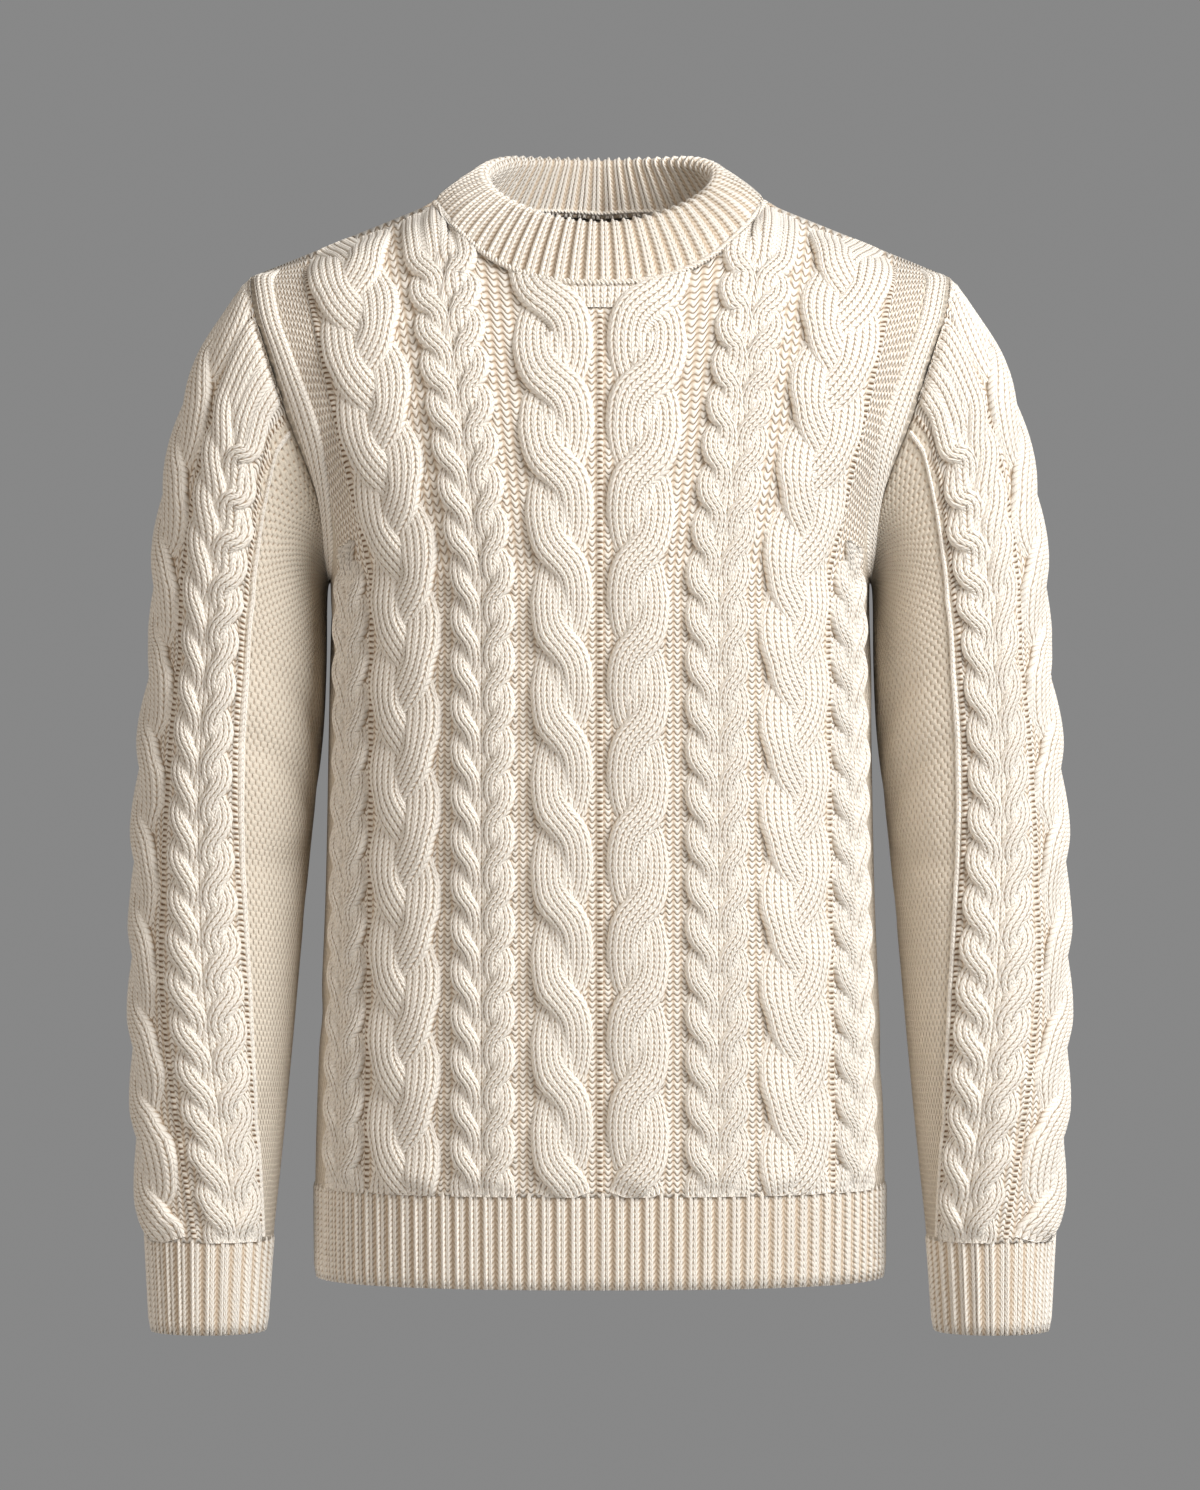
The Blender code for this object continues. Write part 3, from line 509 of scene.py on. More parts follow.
class Surface:
    """A smooth surface through a grid of points, read at a distance across and a row along."""

    def __init__(self, grid, keys, places, wrap, facing, creases, seam):
        self.keys, self.places, self.wrap, self.facing = keys, places, wrap, facing
        self.creases, self.seam = creases, seam
        self.rows, self.columns = grid.shape[:2]
        low, high = 2 * grid[:1] - grid[1:2], 2 * grid[-1:] - grid[-2:-1]
        self.grid = np.concatenate([low, grid, high])
        if not wrap:
            left = 2 * self.grid[:, :1] - self.grid[:, 1:2]
            right = 2 * self.grid[:, -1:] - self.grid[:, -2:-1]
            self.grid = np.concatenate([left, self.grid, right], axis=1)

    def ground(self, across, along):
        place = np.interp(across, self.keys, self.places)
        row = np.clip(along, 0.0, self.rows - 1.0)
        i = np.clip(np.floor(row).astype(int), 0, self.rows - 2)
        j = np.floor(place).astype(int)
        if not self.wrap:
            j = np.clip(j, 0, self.columns - 2)
        total = 0.0
        for a, wa in enumerate(spline_weights(row - i)):
            for b, wb in enumerate(spline_weights(place - j)):
                k = (j + b - 1) % self.columns if self.wrap else j + b
                total = total + (wa * wb)[..., None] * self.grid[i + a, k]
        return total

    def scales(self, across, along):
        """Metres that one unit across and one row along stand for at each place."""
        da, dr = 0.0008, 0.05
        a = self.ground(across + da, along) - self.ground(across - da, along)
        b = self.ground(across, along + dr) - self.ground(across, along - dr)
        wide = np.linalg.norm(a, axis=-1) / (2 * da)
        high = np.linalg.norm(b, axis=-1) / (2 * dr)
        return np.maximum(wide, 0.05), np.maximum(high, 0.001), a, b

    def wide(self, across, along):
        """Metres that one unit across stands for at each place."""
        return self.scales(across, along)[0]

    def sideways(self, across, along):
        """The way square to a path, for one metre to its right, and the length of each step."""
        inside = np.clip(along, 0.06, self.rows - 1.06)
        wide, high, a, b = self.scales(across, inside)
        a, b = units(a) * wide[:, None], units(b) * high[:, None]
        run = a * np.gradient(across)[:, None] + b * np.gradient(along)[:, None]
        length = np.maximum(np.linalg.norm(run, axis=1), 1e-9)
        side = np.cross(units(run), units(np.cross(a, b)))
        skew = np.sum(a * b, axis=1)
        on_a, on_b = np.sum(side * a, axis=1), np.sum(side * b, axis=1)
        area = np.maximum(wide**2 * high**2 - skew**2, 1e-12)
        side_a = (on_a * high**2 - on_b * skew) / area
        side_b = (on_b * wide**2 - on_a * skew) / area
        if np.mean(side_a) < 0:
            side_a, side_b = -side_a, -side_b
        return side_a, side_b, length

    def frame(self, across, along):
        """Points and outward normals."""
        inside = np.clip(along, 0.06, self.rows - 1.06)
        _, _, a, b = self.scales(across, inside)
        normal = units(np.cross(a, b)) * self.facing
        point = self.ground(across, along)
        return point + normal * self.crease(across, along)[..., None], normal

    def seam_share(self, across, along):
        """How much of a strand's height is left near the seam."""
        seam = self.seam
        near = 1 - ease(np.abs(along - seam.row) / seam.reach)
        return 1 - (1 - seam.low) * near * ease((np.abs(across) - seam.start) / 0.010)

    def crease(self, across, along):
        """Soft troughs and ridges, each a listed stroke: place, slope, size and depth."""
        depth = np.zeros(np.broadcast(across, along).shape)
        for c in map(Crease._make, self.creases):
            x, y = (across - c.across) * 1000, (along - c.row) * ARM_ROW * 1000
            turn = math.radians(c.slope)
            run = x * math.cos(turn) + y * math.sin(turn)
            off = -x * math.sin(turn) + y * math.cos(turn) - c.bend * run**2 / c.length
            depth += c.depth * np.exp(-((run / c.length) ** 2) - (off / c.width) ** 2)
        return depth


# Soft folds: lengths and widths in millimetres, depth in metres, below 0 a trough
Crease = namedtuple("Crease", "across row slope length width bend depth")
BODY_CREASES = (
    (0.215, 25.0, 62, 55, 9, 0.10, -0.0022),
    (-0.220, 24.5, -58, 60, 10, -0.12, -0.0024),
    (0.205, 21.5, 50, 50, 12, 0.05, 0.0012),
    (-0.175, 31.0, -50, 40, 10, 0.1, -0.0014),
    (0.180, 31.5, 52, 40, 10, -0.1, -0.0014),
    (-0.230, 8.0, 10, 45, 12, 0.2, -0.0014),
    (0.225, 6.0, -12, 50, 13, -0.2, -0.0013),
)
ARM_CREASES = (
    (0.140, 17.0, 22, 48, 9, 0.12, -0.0026),
    (0.150, 21.5, -14, 50, 10, -0.10, -0.0022),
    (0.160, 14.0, 35, 42, 9, 0.15, -0.0022),
    (-0.135, 18.5, 16, 50, 10, 0.10, -0.0022),
    (-0.150, 23.0, -20, 46, 9, -0.12, -0.0020),
    (0.045, 24.0, -10, 40, 14, 0.1, -0.0014),
    (-0.060, 30.0, 14, 44, 13, 0.1, -0.0013),
    (0.100, 34.5, -18, 40, 9, -0.1, -0.0017),
)


def body_surface(face):
    half = half_panel(face)
    other = half[:, :0:-1].copy()
    other[:, :, 0] *= -1
    keys = np.array([*LINE_ROUNDS, *SIDE_ROUNDS, EDGE_ROUND])
    keys = np.concatenate([-keys[:0:-1], keys])
    places = np.arange(len(keys), dtype=float)
    grid = np.concatenate([other, half], axis=1)
    neck = float(np.interp(NECK_HALF_WIDTH, LINE_TOPS, LINE_ROUNDS))
    # from inside the neck on, where the shoulder seams begin
    seam = Seam(row=BODY_TOP_ROW, reach=1.0, low=0.22, start=neck - 0.016)
    return Surface(grid, keys, places, False, -face, BODY_CREASES, seam)


def sleeve_surface():
    moss = [mix(ARM_ROUNDS[-1], UNDERARM_ROUND, n / (MOSS_LINES + 1))
            for n in range(1, MOSS_LINES + 2)]
    half = np.array([*ARM_ROUNDS, *moss])
    keys = np.concatenate([-half[:0:-1], half])
    places = np.arange(-len(half) + 1, len(half), dtype=float)
    # everywhere round the armhole
    seam = Seam(row=0.0, reach=CAP_SEAM_ROWS, low=0.15, start=-0.020)
    return Surface(sleeve_rings(), keys, places, True, 1, ARM_CREASES, seam)


def body_top(face, across):
    """Height of the panel's top edge above a place round the body."""
    keys = np.array([*LINE_ROUNDS, EDGE_ROUND])
    tops = np.array([*LINE_TOPS, SHOULDER_HALF_WIDTH])
    fine = np.linspace(0, EDGE_ROUND, 300)
    fine_x = np.interp(fine, keys, tops)
    heights = np.array([top_z(face, x) for x in fine_x])
    return np.interp(np.abs(across), fine, heights)


def body_row(face, across, z):
    """The row that lies at a height."""
    low = (z - HEM_TOP_Z) / BODY_ROW
    high = BODY_ROWS + YOKE_ROWS * (z - ARMPIT_Z) / (body_top(face, across) - ARMPIT_Z)
    return np.where(z < ARMPIT_Z, low, high)


# ---------------- meshes


def new_object(name, data):
    item = bpy.data.objects.new(name, data)
    bpy.context.scene.collection.objects.link(item)
    return item


class Cloth:
    """Points, quads, and knit coordinates (wales across, courses along) of one piece."""

    def __init__(self):
        self.points, self.faces, self.coordinates, self.slots = [], [], [], []
        self.count = 0

    def grid(self, points, coordinates, wrap=False, slots=None, round_rows=False):
        """A grid of quads; wrap joins its last column to its first, round_rows its last row."""
        rows, columns = points.shape[:2]
        numbers = np.arange(rows * columns).reshape(rows, columns) + self.count
        self.points.append(points.reshape(-1, 3))
        self.count += rows * columns
        c = np.arange(columns if wrap else columns - 1)
        low = np.arange(rows if round_rows else rows - 1)
        d, high = (c + 1) % columns, (low + 1) % rows
        quads = [numbers[low][:, c], numbers[low][:, d], numbers[high][:, d], numbers[high][:, c]]
        if wrap:
            # the last column's right side has its own coordinate, one step on
            last = 2 * coordinates[:, -1:] - coordinates[:, -2:-1]
            coordinates = np.concatenate([coordinates, last], axis=1)
            d = c + 1
        corners = [coordinates[low][:, c], coordinates[low][:, d],
                   coordinates[high][:, d], coordinates[high][:, c]]
        self.faces.append(np.stack(quads, axis=-1).reshape(-1, 4))
        self.coordinates.append(np.stack(corners, axis=2).reshape(-1, 2))
        picked = np.zeros(len(c), dtype=int) if slots is None else slots
        self.slots.append(picked.ravel() if picked.ndim == 2 else np.tile(picked, len(low)))
        return numbers

    def plain(self, quads):
        """Quads with no stitches of their own."""
        self.faces.append(quads)
        self.coordinates.append(np.tile(PLAIN_KNIT, (len(quads) * 4, 1)))
        self.slots.append(np.zeros(len(quads), dtype=int))

    def fill(self, loop):
        """Quads between the two halves of a short loop of points, such as a strand's end."""
        half = len(loop) // 2
        near, far = loop[:half], loop[:half - 1:-1]
        self.plain(np.stack([near[:-1], near[1:], far[1:], far[:-1]], axis=-1))

    def close_edges(self, numbers, count):
        """Closes the first and last rows of a sheet that is folded back at its count-th column."""
        for row, flip in ((0, False), (-1, True)):
            top, under = numbers[row][:count], numbers[row][count : 2 * count][::-1]
            quads = np.stack([top[:-1], under[:-1], under[1:], top[1:]], axis=-1)
            self.plain(quads[:, ::-1] if flip else quads)

    def build(self, name, wools, mirror=False):
        """The piece, in the wools that its slots stand for."""
        points = np.concatenate(self.points)
        faces = np.concatenate(self.faces)
        uv = np.concatenate(self.coordinates)
        if mirror:
            points = points * np.array([-1, 1, 1])
            faces = faces[:, ::-1]
            uv = uv.reshape(-1, 4, 2)[:, ::-1].reshape(-1, 2)
        mesh = bpy.data.meshes.new(name)
        mesh.vertices.add(len(points))
        mesh.vertices.foreach_set("co", points.astype(np.float32).ravel())
        mesh.loops.add(len(faces) * 4)
        mesh.loops.foreach_set("vertex_index", faces.astype(np.int32).ravel())
        mesh.polygons.add(len(faces))
        mesh.polygons.foreach_set("loop_start", np.arange(0, len(faces) * 4, 4, dtype=np.int32))
        mesh.polygons.foreach_set("material_index", np.concatenate(self.slots).astype(np.int32))
        layer = mesh.uv_layers.new(name="knit")
        layer.data.foreach_set("uv", uv.astype(np.float32).ravel())
        mesh.update()
        mesh.validate()
        mesh.shade_smooth()
        for wool_name in wools:
            mesh.materials.append(WOOLS[wool_name])
        item = new_object(name, mesh)
        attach(item, "root")
        return item


def close_wall(cloth, outer, inner, knit, slots, wrap):
    """A closed wall from its outer and inner points; slots has a number for every outer quad."""
    if wrap:
        rim = np.zeros((1, outer.shape[1]), dtype=int)
        picked = np.concatenate([slots, rim, slots[::-1], rim])
        points = np.concatenate([outer, inner[::-1]])
        cloth.grid(points, np.concatenate([knit, knit[::-1]]), True, picked, True)
        return
    # one sheet folded round both side edges, closed along the top and bottom
    rim = np.zeros((len(slots), 1), dtype=int)
    picked = np.concatenate([slots, rim, slots[:, ::-1], rim], axis=1)
    points = np.concatenate([outer, inner[:, ::-1]], axis=1)
    numbers = cloth.grid(points, np.concatenate([knit, knit[:, ::-1]], axis=1), True, picked)
    cloth.close_edges(numbers, outer.shape[1])


def ribbon(cloth, surface, across, along, half, lift, crown, wales, course_start=0.0,
           keep=slice(None), level=False):
    """One strand: a crowned band of wales, swept along a path with its edges in the ground.

    along is the path's rows, or works them out from where it lies. The strand sinks towards
    the surface's seam. A level one keeps its wales to the surface's own lines.
    """
    along = along(across) if callable(along) else along
    across, along, half, lift, crown = (
        values[keep] for values in np.broadcast_arrays(across, along, half, lift, crown))
    side_a, side_b, length = surface.sideways(across, along)
    if level:
        side_a, side_b = 1 / surface.wide(across, along), np.zeros(len(across))
    q = np.linspace(-1.0, 1.0, wales * POINTS_A_WALE + 1)
    offset = half[:, None] * q[None, :]
    a = across[:, None] + offset * side_a[:, None]
    r = along[:, None] + offset * side_b[:, None]
    # sections that lie wholly past the first or last row are left out, and others end on it
    inside = np.flatnonzero((r.max(axis=1) > 0.0) & (r.min(axis=1) < surface.rows - 1.0))
    if len(inside) < 4:
        return
    pick = slice(inside[0], inside[-1] + 1)
    across, along, half, lift, crown, length = (
        values[pick] for values in (across, along, half, lift, crown, length))
    a, r = a[pick], r[pick]
    ground, normal = surface.frame(a, r)
    place = (q + 1) / 2 * wales
    ridge = WALE_RIDGE * np.sqrt(np.maximum(0.0, 1 - (2 * (place % 1.0) - 1) ** 2))
    arch = np.maximum(0.0, 1 - np.abs(q) ** STRAND_POWER) ** 0.5
    tall = lift[:, None] - SINK + (crown[:, None] + SINK) * arch + ridge * np.minimum(1, arch * 2)
    tall = -SINK + (tall + SINK) * surface.seam_share(a, r)
    top = ground + normal * tall[:, :, None]
    low_left = ground[:, :1] - normal[:, :1] * SINK
    low_right = ground[:, -1:] - normal[:, -1:] * SINK
    courses = course_start + np.cumsum(length) / COURSE
    knit_u = np.tile(np.concatenate([place, [wales, 0.0]]), (len(across), 1))
    knit_v = np.tile(courses[:, None], (1, len(q) + 2))
    ring = np.concatenate([top, low_right, low_left], axis=1)
    numbers = cloth.grid(ring, np.stack([knit_u, knit_v], axis=-1), True)
    for loop in (numbers[0], numbers[-1][::-1]):
        # an odd loop leaves out its last corner, on the flat side
        cloth.fill(loop[: len(loop) // 2 * 2])


def ladder(cloth, surface, across, rows, half):
    """A narrow strip of loops and holes along the bottom of a gutter."""
    ribbon(cloth, surface, across, rows, half, 0.0, LADDER_RISE, 1, level=True)


def swing(phase, sharp):
    """A strand's place across its rope: it crosses quickly and then runs beside the other."""
    return np.tanh(sharp * np.sin(math.pi * phase)) / math.tanh(sharp)


class Path(namedtuple("Path", "cloth surface centre half spread along crown rise")):
    """A cable's way over a surface, and what its strands share.

    half is in metres and spread is the metres of one unit across. along is the rows, crown
    the strands' thickness, and rise how far the upper one lies above the lower.
    """

    def strand(self, place, width, lift, crown, wales, course_start, keep=slice(None)):
        """A strand that lies at a share of the cable's half width from its middle."""
        across = self.centre + place * self.half / self.spread
        ribbon(self.cloth, self.surface, across, self.along, width, lift, crown, wales,
               course_start, keep)


def rope_strands(path, phase, sign, wales, sharp=1.5, last_under=None):
    """Two strands that cross at whole phases, the upper one running outwards as phase grows.

    Past the phase last_under only the upper strand goes on.
    """
    for number, way in enumerate((1, -1)):
        place = way * swing(phase, sharp) * sign
        over = way * np.cos(math.pi * phase)
        belly = 1 - np.abs(over)
        width = path.half * (0.56 + 0.05 * belly + 0.05 * np.minimum(over, 0.0))
        lift = path.rise * np.where(over > 0, over, 1.25 * over) - 0.2 * path.rise
        keep = slice(None)
        if last_under is not None and way * math.cos(math.pi * round(last_under)) < 0:
            keep = phase > last_under
        path.strand(place * 0.46, width, lift, path.crown, wales, 0.37 * number, keep)
    keep = slice(None) if last_under is None else phase > last_under + 0.35
    path.strand(0.0, path.half * 0.42, 0.0, path.crown * 0.78, max(2, wales - 2), 0.2, keep)


def plait_strands(path, phase, side, sharp=1.2):
    """Two small ropes that mirror each other, on a plain bed that closes their middle."""
    for inner in (1, -1):
        place = path.centre + side * inner * path.half / path.spread * 0.485
        rope = path._replace(centre=place, half=path.half * 0.52)
        rope_strands(rope, phase, side * -inner, PLAIT_WALES, sharp)
    path.strand(0.0, path.half * 0.34, 0.0, path.crown * 0.48, PLAIT_WALES, 0.1)


def braid_strands(path, turn, sign, wales):
    """Three strands, each passing over the next as it turns in from an edge."""
    for number in range(3):
        t = turn + 2 * math.pi * number / 3
        swung = np.tanh(1.15 * np.sin(t)) / math.tanh(1.15)
        path.strand(sign * 0.53 * swung, path.half * 0.50, -path.rise * np.sin(2 * t),
                    path.crown, wales, 0.3 * number)


def path_rows(low, high, step):
    return np.linspace(low, high, max(3, int(round(abs(high - low) / step)) + 1))


# ---------------- materials


class Nodes:
    """Short names for the node calls that the knit needs."""

    def __init__(self, name):
        self.material = bpy.data.materials.new(name)
        self.material.use_nodes = True
        self.tree = self.material.node_tree
        self.shader = self.tree.nodes["Principled BSDF"]

    def put(self, value, socket):
        if isinstance(value, bpy.types.NodeSocket):
            self.tree.links.new(value, socket)
        else:
            socket.default_value = value

    def node(self, kind, **settings):
        node = self.tree.nodes.new("ShaderNode" + kind)
        for name, value in settings.items():
            setattr(node, name, value)
        return node

    def math(self, operation, a, b=None):
        node = self.node("Math", operation=operation)
        self.put(a, node.inputs[0])
        if b is not None:
            self.put(b, node.inputs[1])
        return node.outputs[0]

    def add(self, a, b):
        return self.math("ADD", a, b)

    def times(self, a, b):
        return self.math("MULTIPLY", a, b)

    def rest(self, a):
        """What is left of 1."""
        return self.math("SUBTRACT", 1.0, a)

    def centred(self, x):
        """From -1 to 1 in each unit of x."""
        return self.add(self.times(self.math("FRACT", x), 2.0), -1.0)

    def hump(self, x):
        """1 in the middle of each unit of x and 0 at its ends."""
        part = self.centred(x)
        return self.rest(self.times(part, part))

    def noise(self, coordinates, scale, detail):
        node = self.node("TexNoise")
        self.put(scale, node.inputs["Scale"])
        self.put(detail, node.inputs["Detail"])
        self.put(coordinates, node.inputs["Vector"])
        return node.outputs["Fac"]

    def ranged(self, value, low, high, to_low, to_high):
        node = self.node("MapRange", interpolation_type="SMOOTHSTEP")
        for number, v in enumerate((value, low, high, to_low, to_high)):
            self.put(v, node.inputs[number])
        return node.outputs[0]

    def blend(self, factor, a, b, kind="MIX"):
        node = self.node("Mix", data_type="RGBA", blend_type=kind)
        self.put(factor, node.inputs["Factor"])
        for value, socket in ((a, node.inputs[6]), (b, node.inputs[7])):
            self.put((*value, 1.0) if isinstance(value, tuple) else value, socket)
        return node.outputs[2]

    def grey(self, value):
        node = self.node("CombineColor")
        for socket in node.inputs[:3]:
            self.put(value, socket)
        return node.outputs[0]


def knit_height(n, u, v):
    """Stocking stitch: two plump legs a wale that meet in a V at its middle."""
    out = n.math("ABSOLUTE", n.centred(u))
    # legs lean in a V; a shallow groove parts them, and a deep one parts wales, with dots that
    # sink low enough to take the painted gap shade
    groove = n.ranged(out, 0.0, 0.28, 0.66, 1.0)
    border = n.rest(n.math("POWER", out, 3.0))
    loops = n.math("POWER", n.hump(n.math("SUBTRACT", v, n.times(out, 0.75))), 0.55)
    valley = n.math("POWER", border, n.add(1.9, n.times(loops, -1.45)))
    along = n.add(0.50, n.times(loops, 0.50))
    return n.times(n.times(groove, valley), along)


def purl_height(n, u, v):
    """Reverse side: wavy bars across, with a hole between each two."""
    wave = n.math("COSINE", n.times(u, 2 * math.pi))
    bars = n.math("POWER", n.hump(n.add(v, n.times(wave, 0.27))), 0.7)
    return n.times(bars, n.add(0.74, n.times(wave, 0.26)))


def moss_height(n, u, v):
    """Moss stitch: low bumps on alternate wales, course by course, with a small hole by each."""
    cell = n.hump(n.add(u, n.times(n.math("FLOOR", v), 0.5)))
    course = n.hump(v)
    edge = n.rest(cell)
    hole = n.times(n.math("POWER", edge, 2.0), n.math("POWER", course, 0.7))
    bump = n.add(0.60, n.times(n.math("POWER", n.times(cell, course), 0.7), 0.40))
    return n.times(bump, n.rest(n.times(hole, 0.95)))


def ladder_height(n, u, v):
    """Loops that cross a narrow gutter, with a hole between each two that the colour paints in
    shade.
    """
    between = n.math("POWER", n.rest(n.hump(v)), 0.5)
    hole = n.times(between, n.math("POWER", n.hump(u), 0.5))
    return n.math("SUBTRACT", 0.72, n.times(hole, 0.72))


def rib_height(n, u, v):
    """Three wales a rib: two of stocking stitch and a purl ladder."""
    ladder = n.math("GREATER_THAN", n.math("FRACT", n.times(u, 1 / 3)), 2 / 3)
    knit, purl = knit_height(n, u, v), n.times(purl_height(n, u, v), 0.50)
    return n.add(n.times(knit, n.rest(ladder)), n.times(purl, ladder))


def wool(name, pattern, relief, gap_shade=GAP_PAINTED_SHADE, gap_shade_reach=0.55, low=YARN_LOW_PAINTED_SHADE, high=YARN):
    """Cream wool: the stitch's relief, painted shade in its low places and gaps, fibres and a soft
    sheen.
    """
    n = Nodes(name)
    place = n.node("TexCoord").outputs["Object"]
    split = n.node("SeparateXYZ")
    n.put(n.node("UVMap", uv_map="knit").outputs[0], split.inputs[0])
    shake = n.add(n.noise(place, 140.0, 1.0), -0.5)
    u = n.add(split.outputs[0], n.times(shake, 0.16))
    v = n.add(split.outputs[1], n.times(shake, 0.55))
    height = pattern(n, u, v)
    fibre = n.noise(place, 1500.0, 3.0)
    cloud = n.noise(place, 22.0, 2.0)
    yarn = n.blend(n.ranged(cloud, 0.35, 0.65, 0.0, 1.0), tuple(0.95 * c for c in high), high)
    # painted shade: the low parts of each stitch take the darker low colour
    body = n.blend(n.ranged(height, 0.25, 0.85, 0.0, 1.0), low, yarn)
    # painted shade: the deepest parts take the gap colour, in place of the shade that falls
    # between stitches
    colour = n.blend(n.ranged(height, 0.05, gap_shade_reach, 0.0, 1.0), gap_shade, body)
    speck = n.ranged(fibre, 0.3, 0.7, 0.90, 1.04)
    bump = n.node("Bump")
    n.put(1.0, bump.inputs["Strength"])
    n.put(relief, bump.inputs["Distance"])
    n.put(n.add(height, n.times(fibre, 0.22)), bump.inputs["Height"])
    for socket, value in (
        ("Base Color", n.blend(1.0, colour, n.grey(speck), "MULTIPLY")),
        ("Normal", bump.outputs[0]),
        ("Roughness", 0.92),
        ("Specular IOR Level", 0.15),
        ("Sheen Weight", 0.05),
        ("Sheen Roughness", 0.55),
        ("Sheen Tint", (1.0, 0.96, 0.90, 1.0)),
    ):
        n.put(value, n.shader.inputs[socket])
    return n.material


WOOLS = {
    "knit": wool("wool_knit", knit_height, 0.0011),
    "purl": wool("wool_purl", purl_height, 0.0013, gap_shade_reach=0.75),
    # the moss takes a darker copy of the yarn: painted shade for its small hollows
    "moss": wool("wool_moss", moss_height, 0.0013, gap_shade_reach=0.6, high=YARN_MOSS_PAINTED_SHADE),
    "rib": wool("wool_rib", rib_height, 0.0010, gap_shade=RIB_GAP_PAINTED_SHADE),
    "ladder": wool("wool_ladder", ladder_height, 0.0016, gap_shade=HOLE_PAINTED_SHADE, gap_shade_reach=0.50),
    "yarn": wool("wool_yarn", moss_height, 0.0004, gap_shade_reach=0.2),
}


# ---------------- body pieces


def shell_piece(title, node, surface, across, along, row, moss, wrap, mirror=False):
    """The thin knit under the cables: row is a row's length, and moss says where moss lies."""
    a, r = np.meshgrid(across, along)
    knit = np.stack([a / GROUND_WALE, r * row / COURSE], axis=-1)
    outer, normal = surface.frame(a, r)
    cloth = Cloth()
    close_wall(cloth, outer, outer - normal * WALL, knit, moss.astype(int), wrap)
    shell = cloth.build(title + "_shell", ("purl", "moss"), mirror)
    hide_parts(node)
    return shell


def body_cable(cables, surface, face, cable, side):
    """Every strand of one cable on one side of a panel."""
    kind = cable.kind
    step = WIDE_STEP if kind in ("rope", "braid") else NARROW_STEP
    step *= 1.0 if face == FRONT else BACK_STEP_SCALE
    top = float(body_top(face, cable.centre))
    z = path_rows(HEM_TOP_Z, SIDE_TOP_Z if kind == "side" else top + PAST_SHOULDER, step)
    middle_rows = np.minimum(body_row(face, cable.centre, z), BODY_TOP_ROW)
    # cables open a little where the panel's lines spread
    spread = np.clip(surface.wide(np.full(len(z), cable.centre), middle_rows), 0.8, 1.25)
    half = cable.half * spread
    pattern = row_at(z, ROPE_SHRINK if kind == "rope" else PITCH_SHRINK)
    ends = END_SHARE + (1 - END_SHARE) * ease((z - HEM_TOP_Z) / END_REACH)
    if kind == "side":
        # it thins out and narrows towards the armhole
        crown = 0.25 + 0.75 * ease((SIDE_TOP_Z - z) / 0.040)
        half = half * (0.55 + 0.45 * ease((SIDE_TOP_Z - z) / 0.045))
    else:
        crown = 0.72 + 0.28 * ease((top - z) / 0.014)
    path = Path(cables, surface, side * cable.centre, half, spread,
                lambda places: body_row(face, places, z),
                cable.height * ends * crown, cable.rise * ends)
    if kind == "rope":
        phase = (ROPE_CROSS_ROW - pattern) / ROWS_A_CROSSING
        last_under = (ROPE_CROSS_ROW - row_at(ROPE_LAST_Z, ROPE_SHRINK)) / ROWS_A_CROSSING
        rope_strands(path, phase, -side, ROPE_WALES,
                     last_under=last_under if face == FRONT else None)
    elif kind == "braid":
        turn = 2 * math.pi * (BRAID_CROSS_ROW - pattern) / BRAID_ROWS + BRAID_TURN
        braid_strands(path, turn, side, ROPE_WALES)
    else:
        phase = (PLAIT_CROSS_ROW - pattern) / 2
        if kind == "plait":
            # above its last crossing it runs straight up to the seam
            phase = np.maximum(phase, (PLAIT_CROSS_ROW - PLAIT_LAST_ROW) / 2 - 0.5)
        plait_strands(path, phase, side)


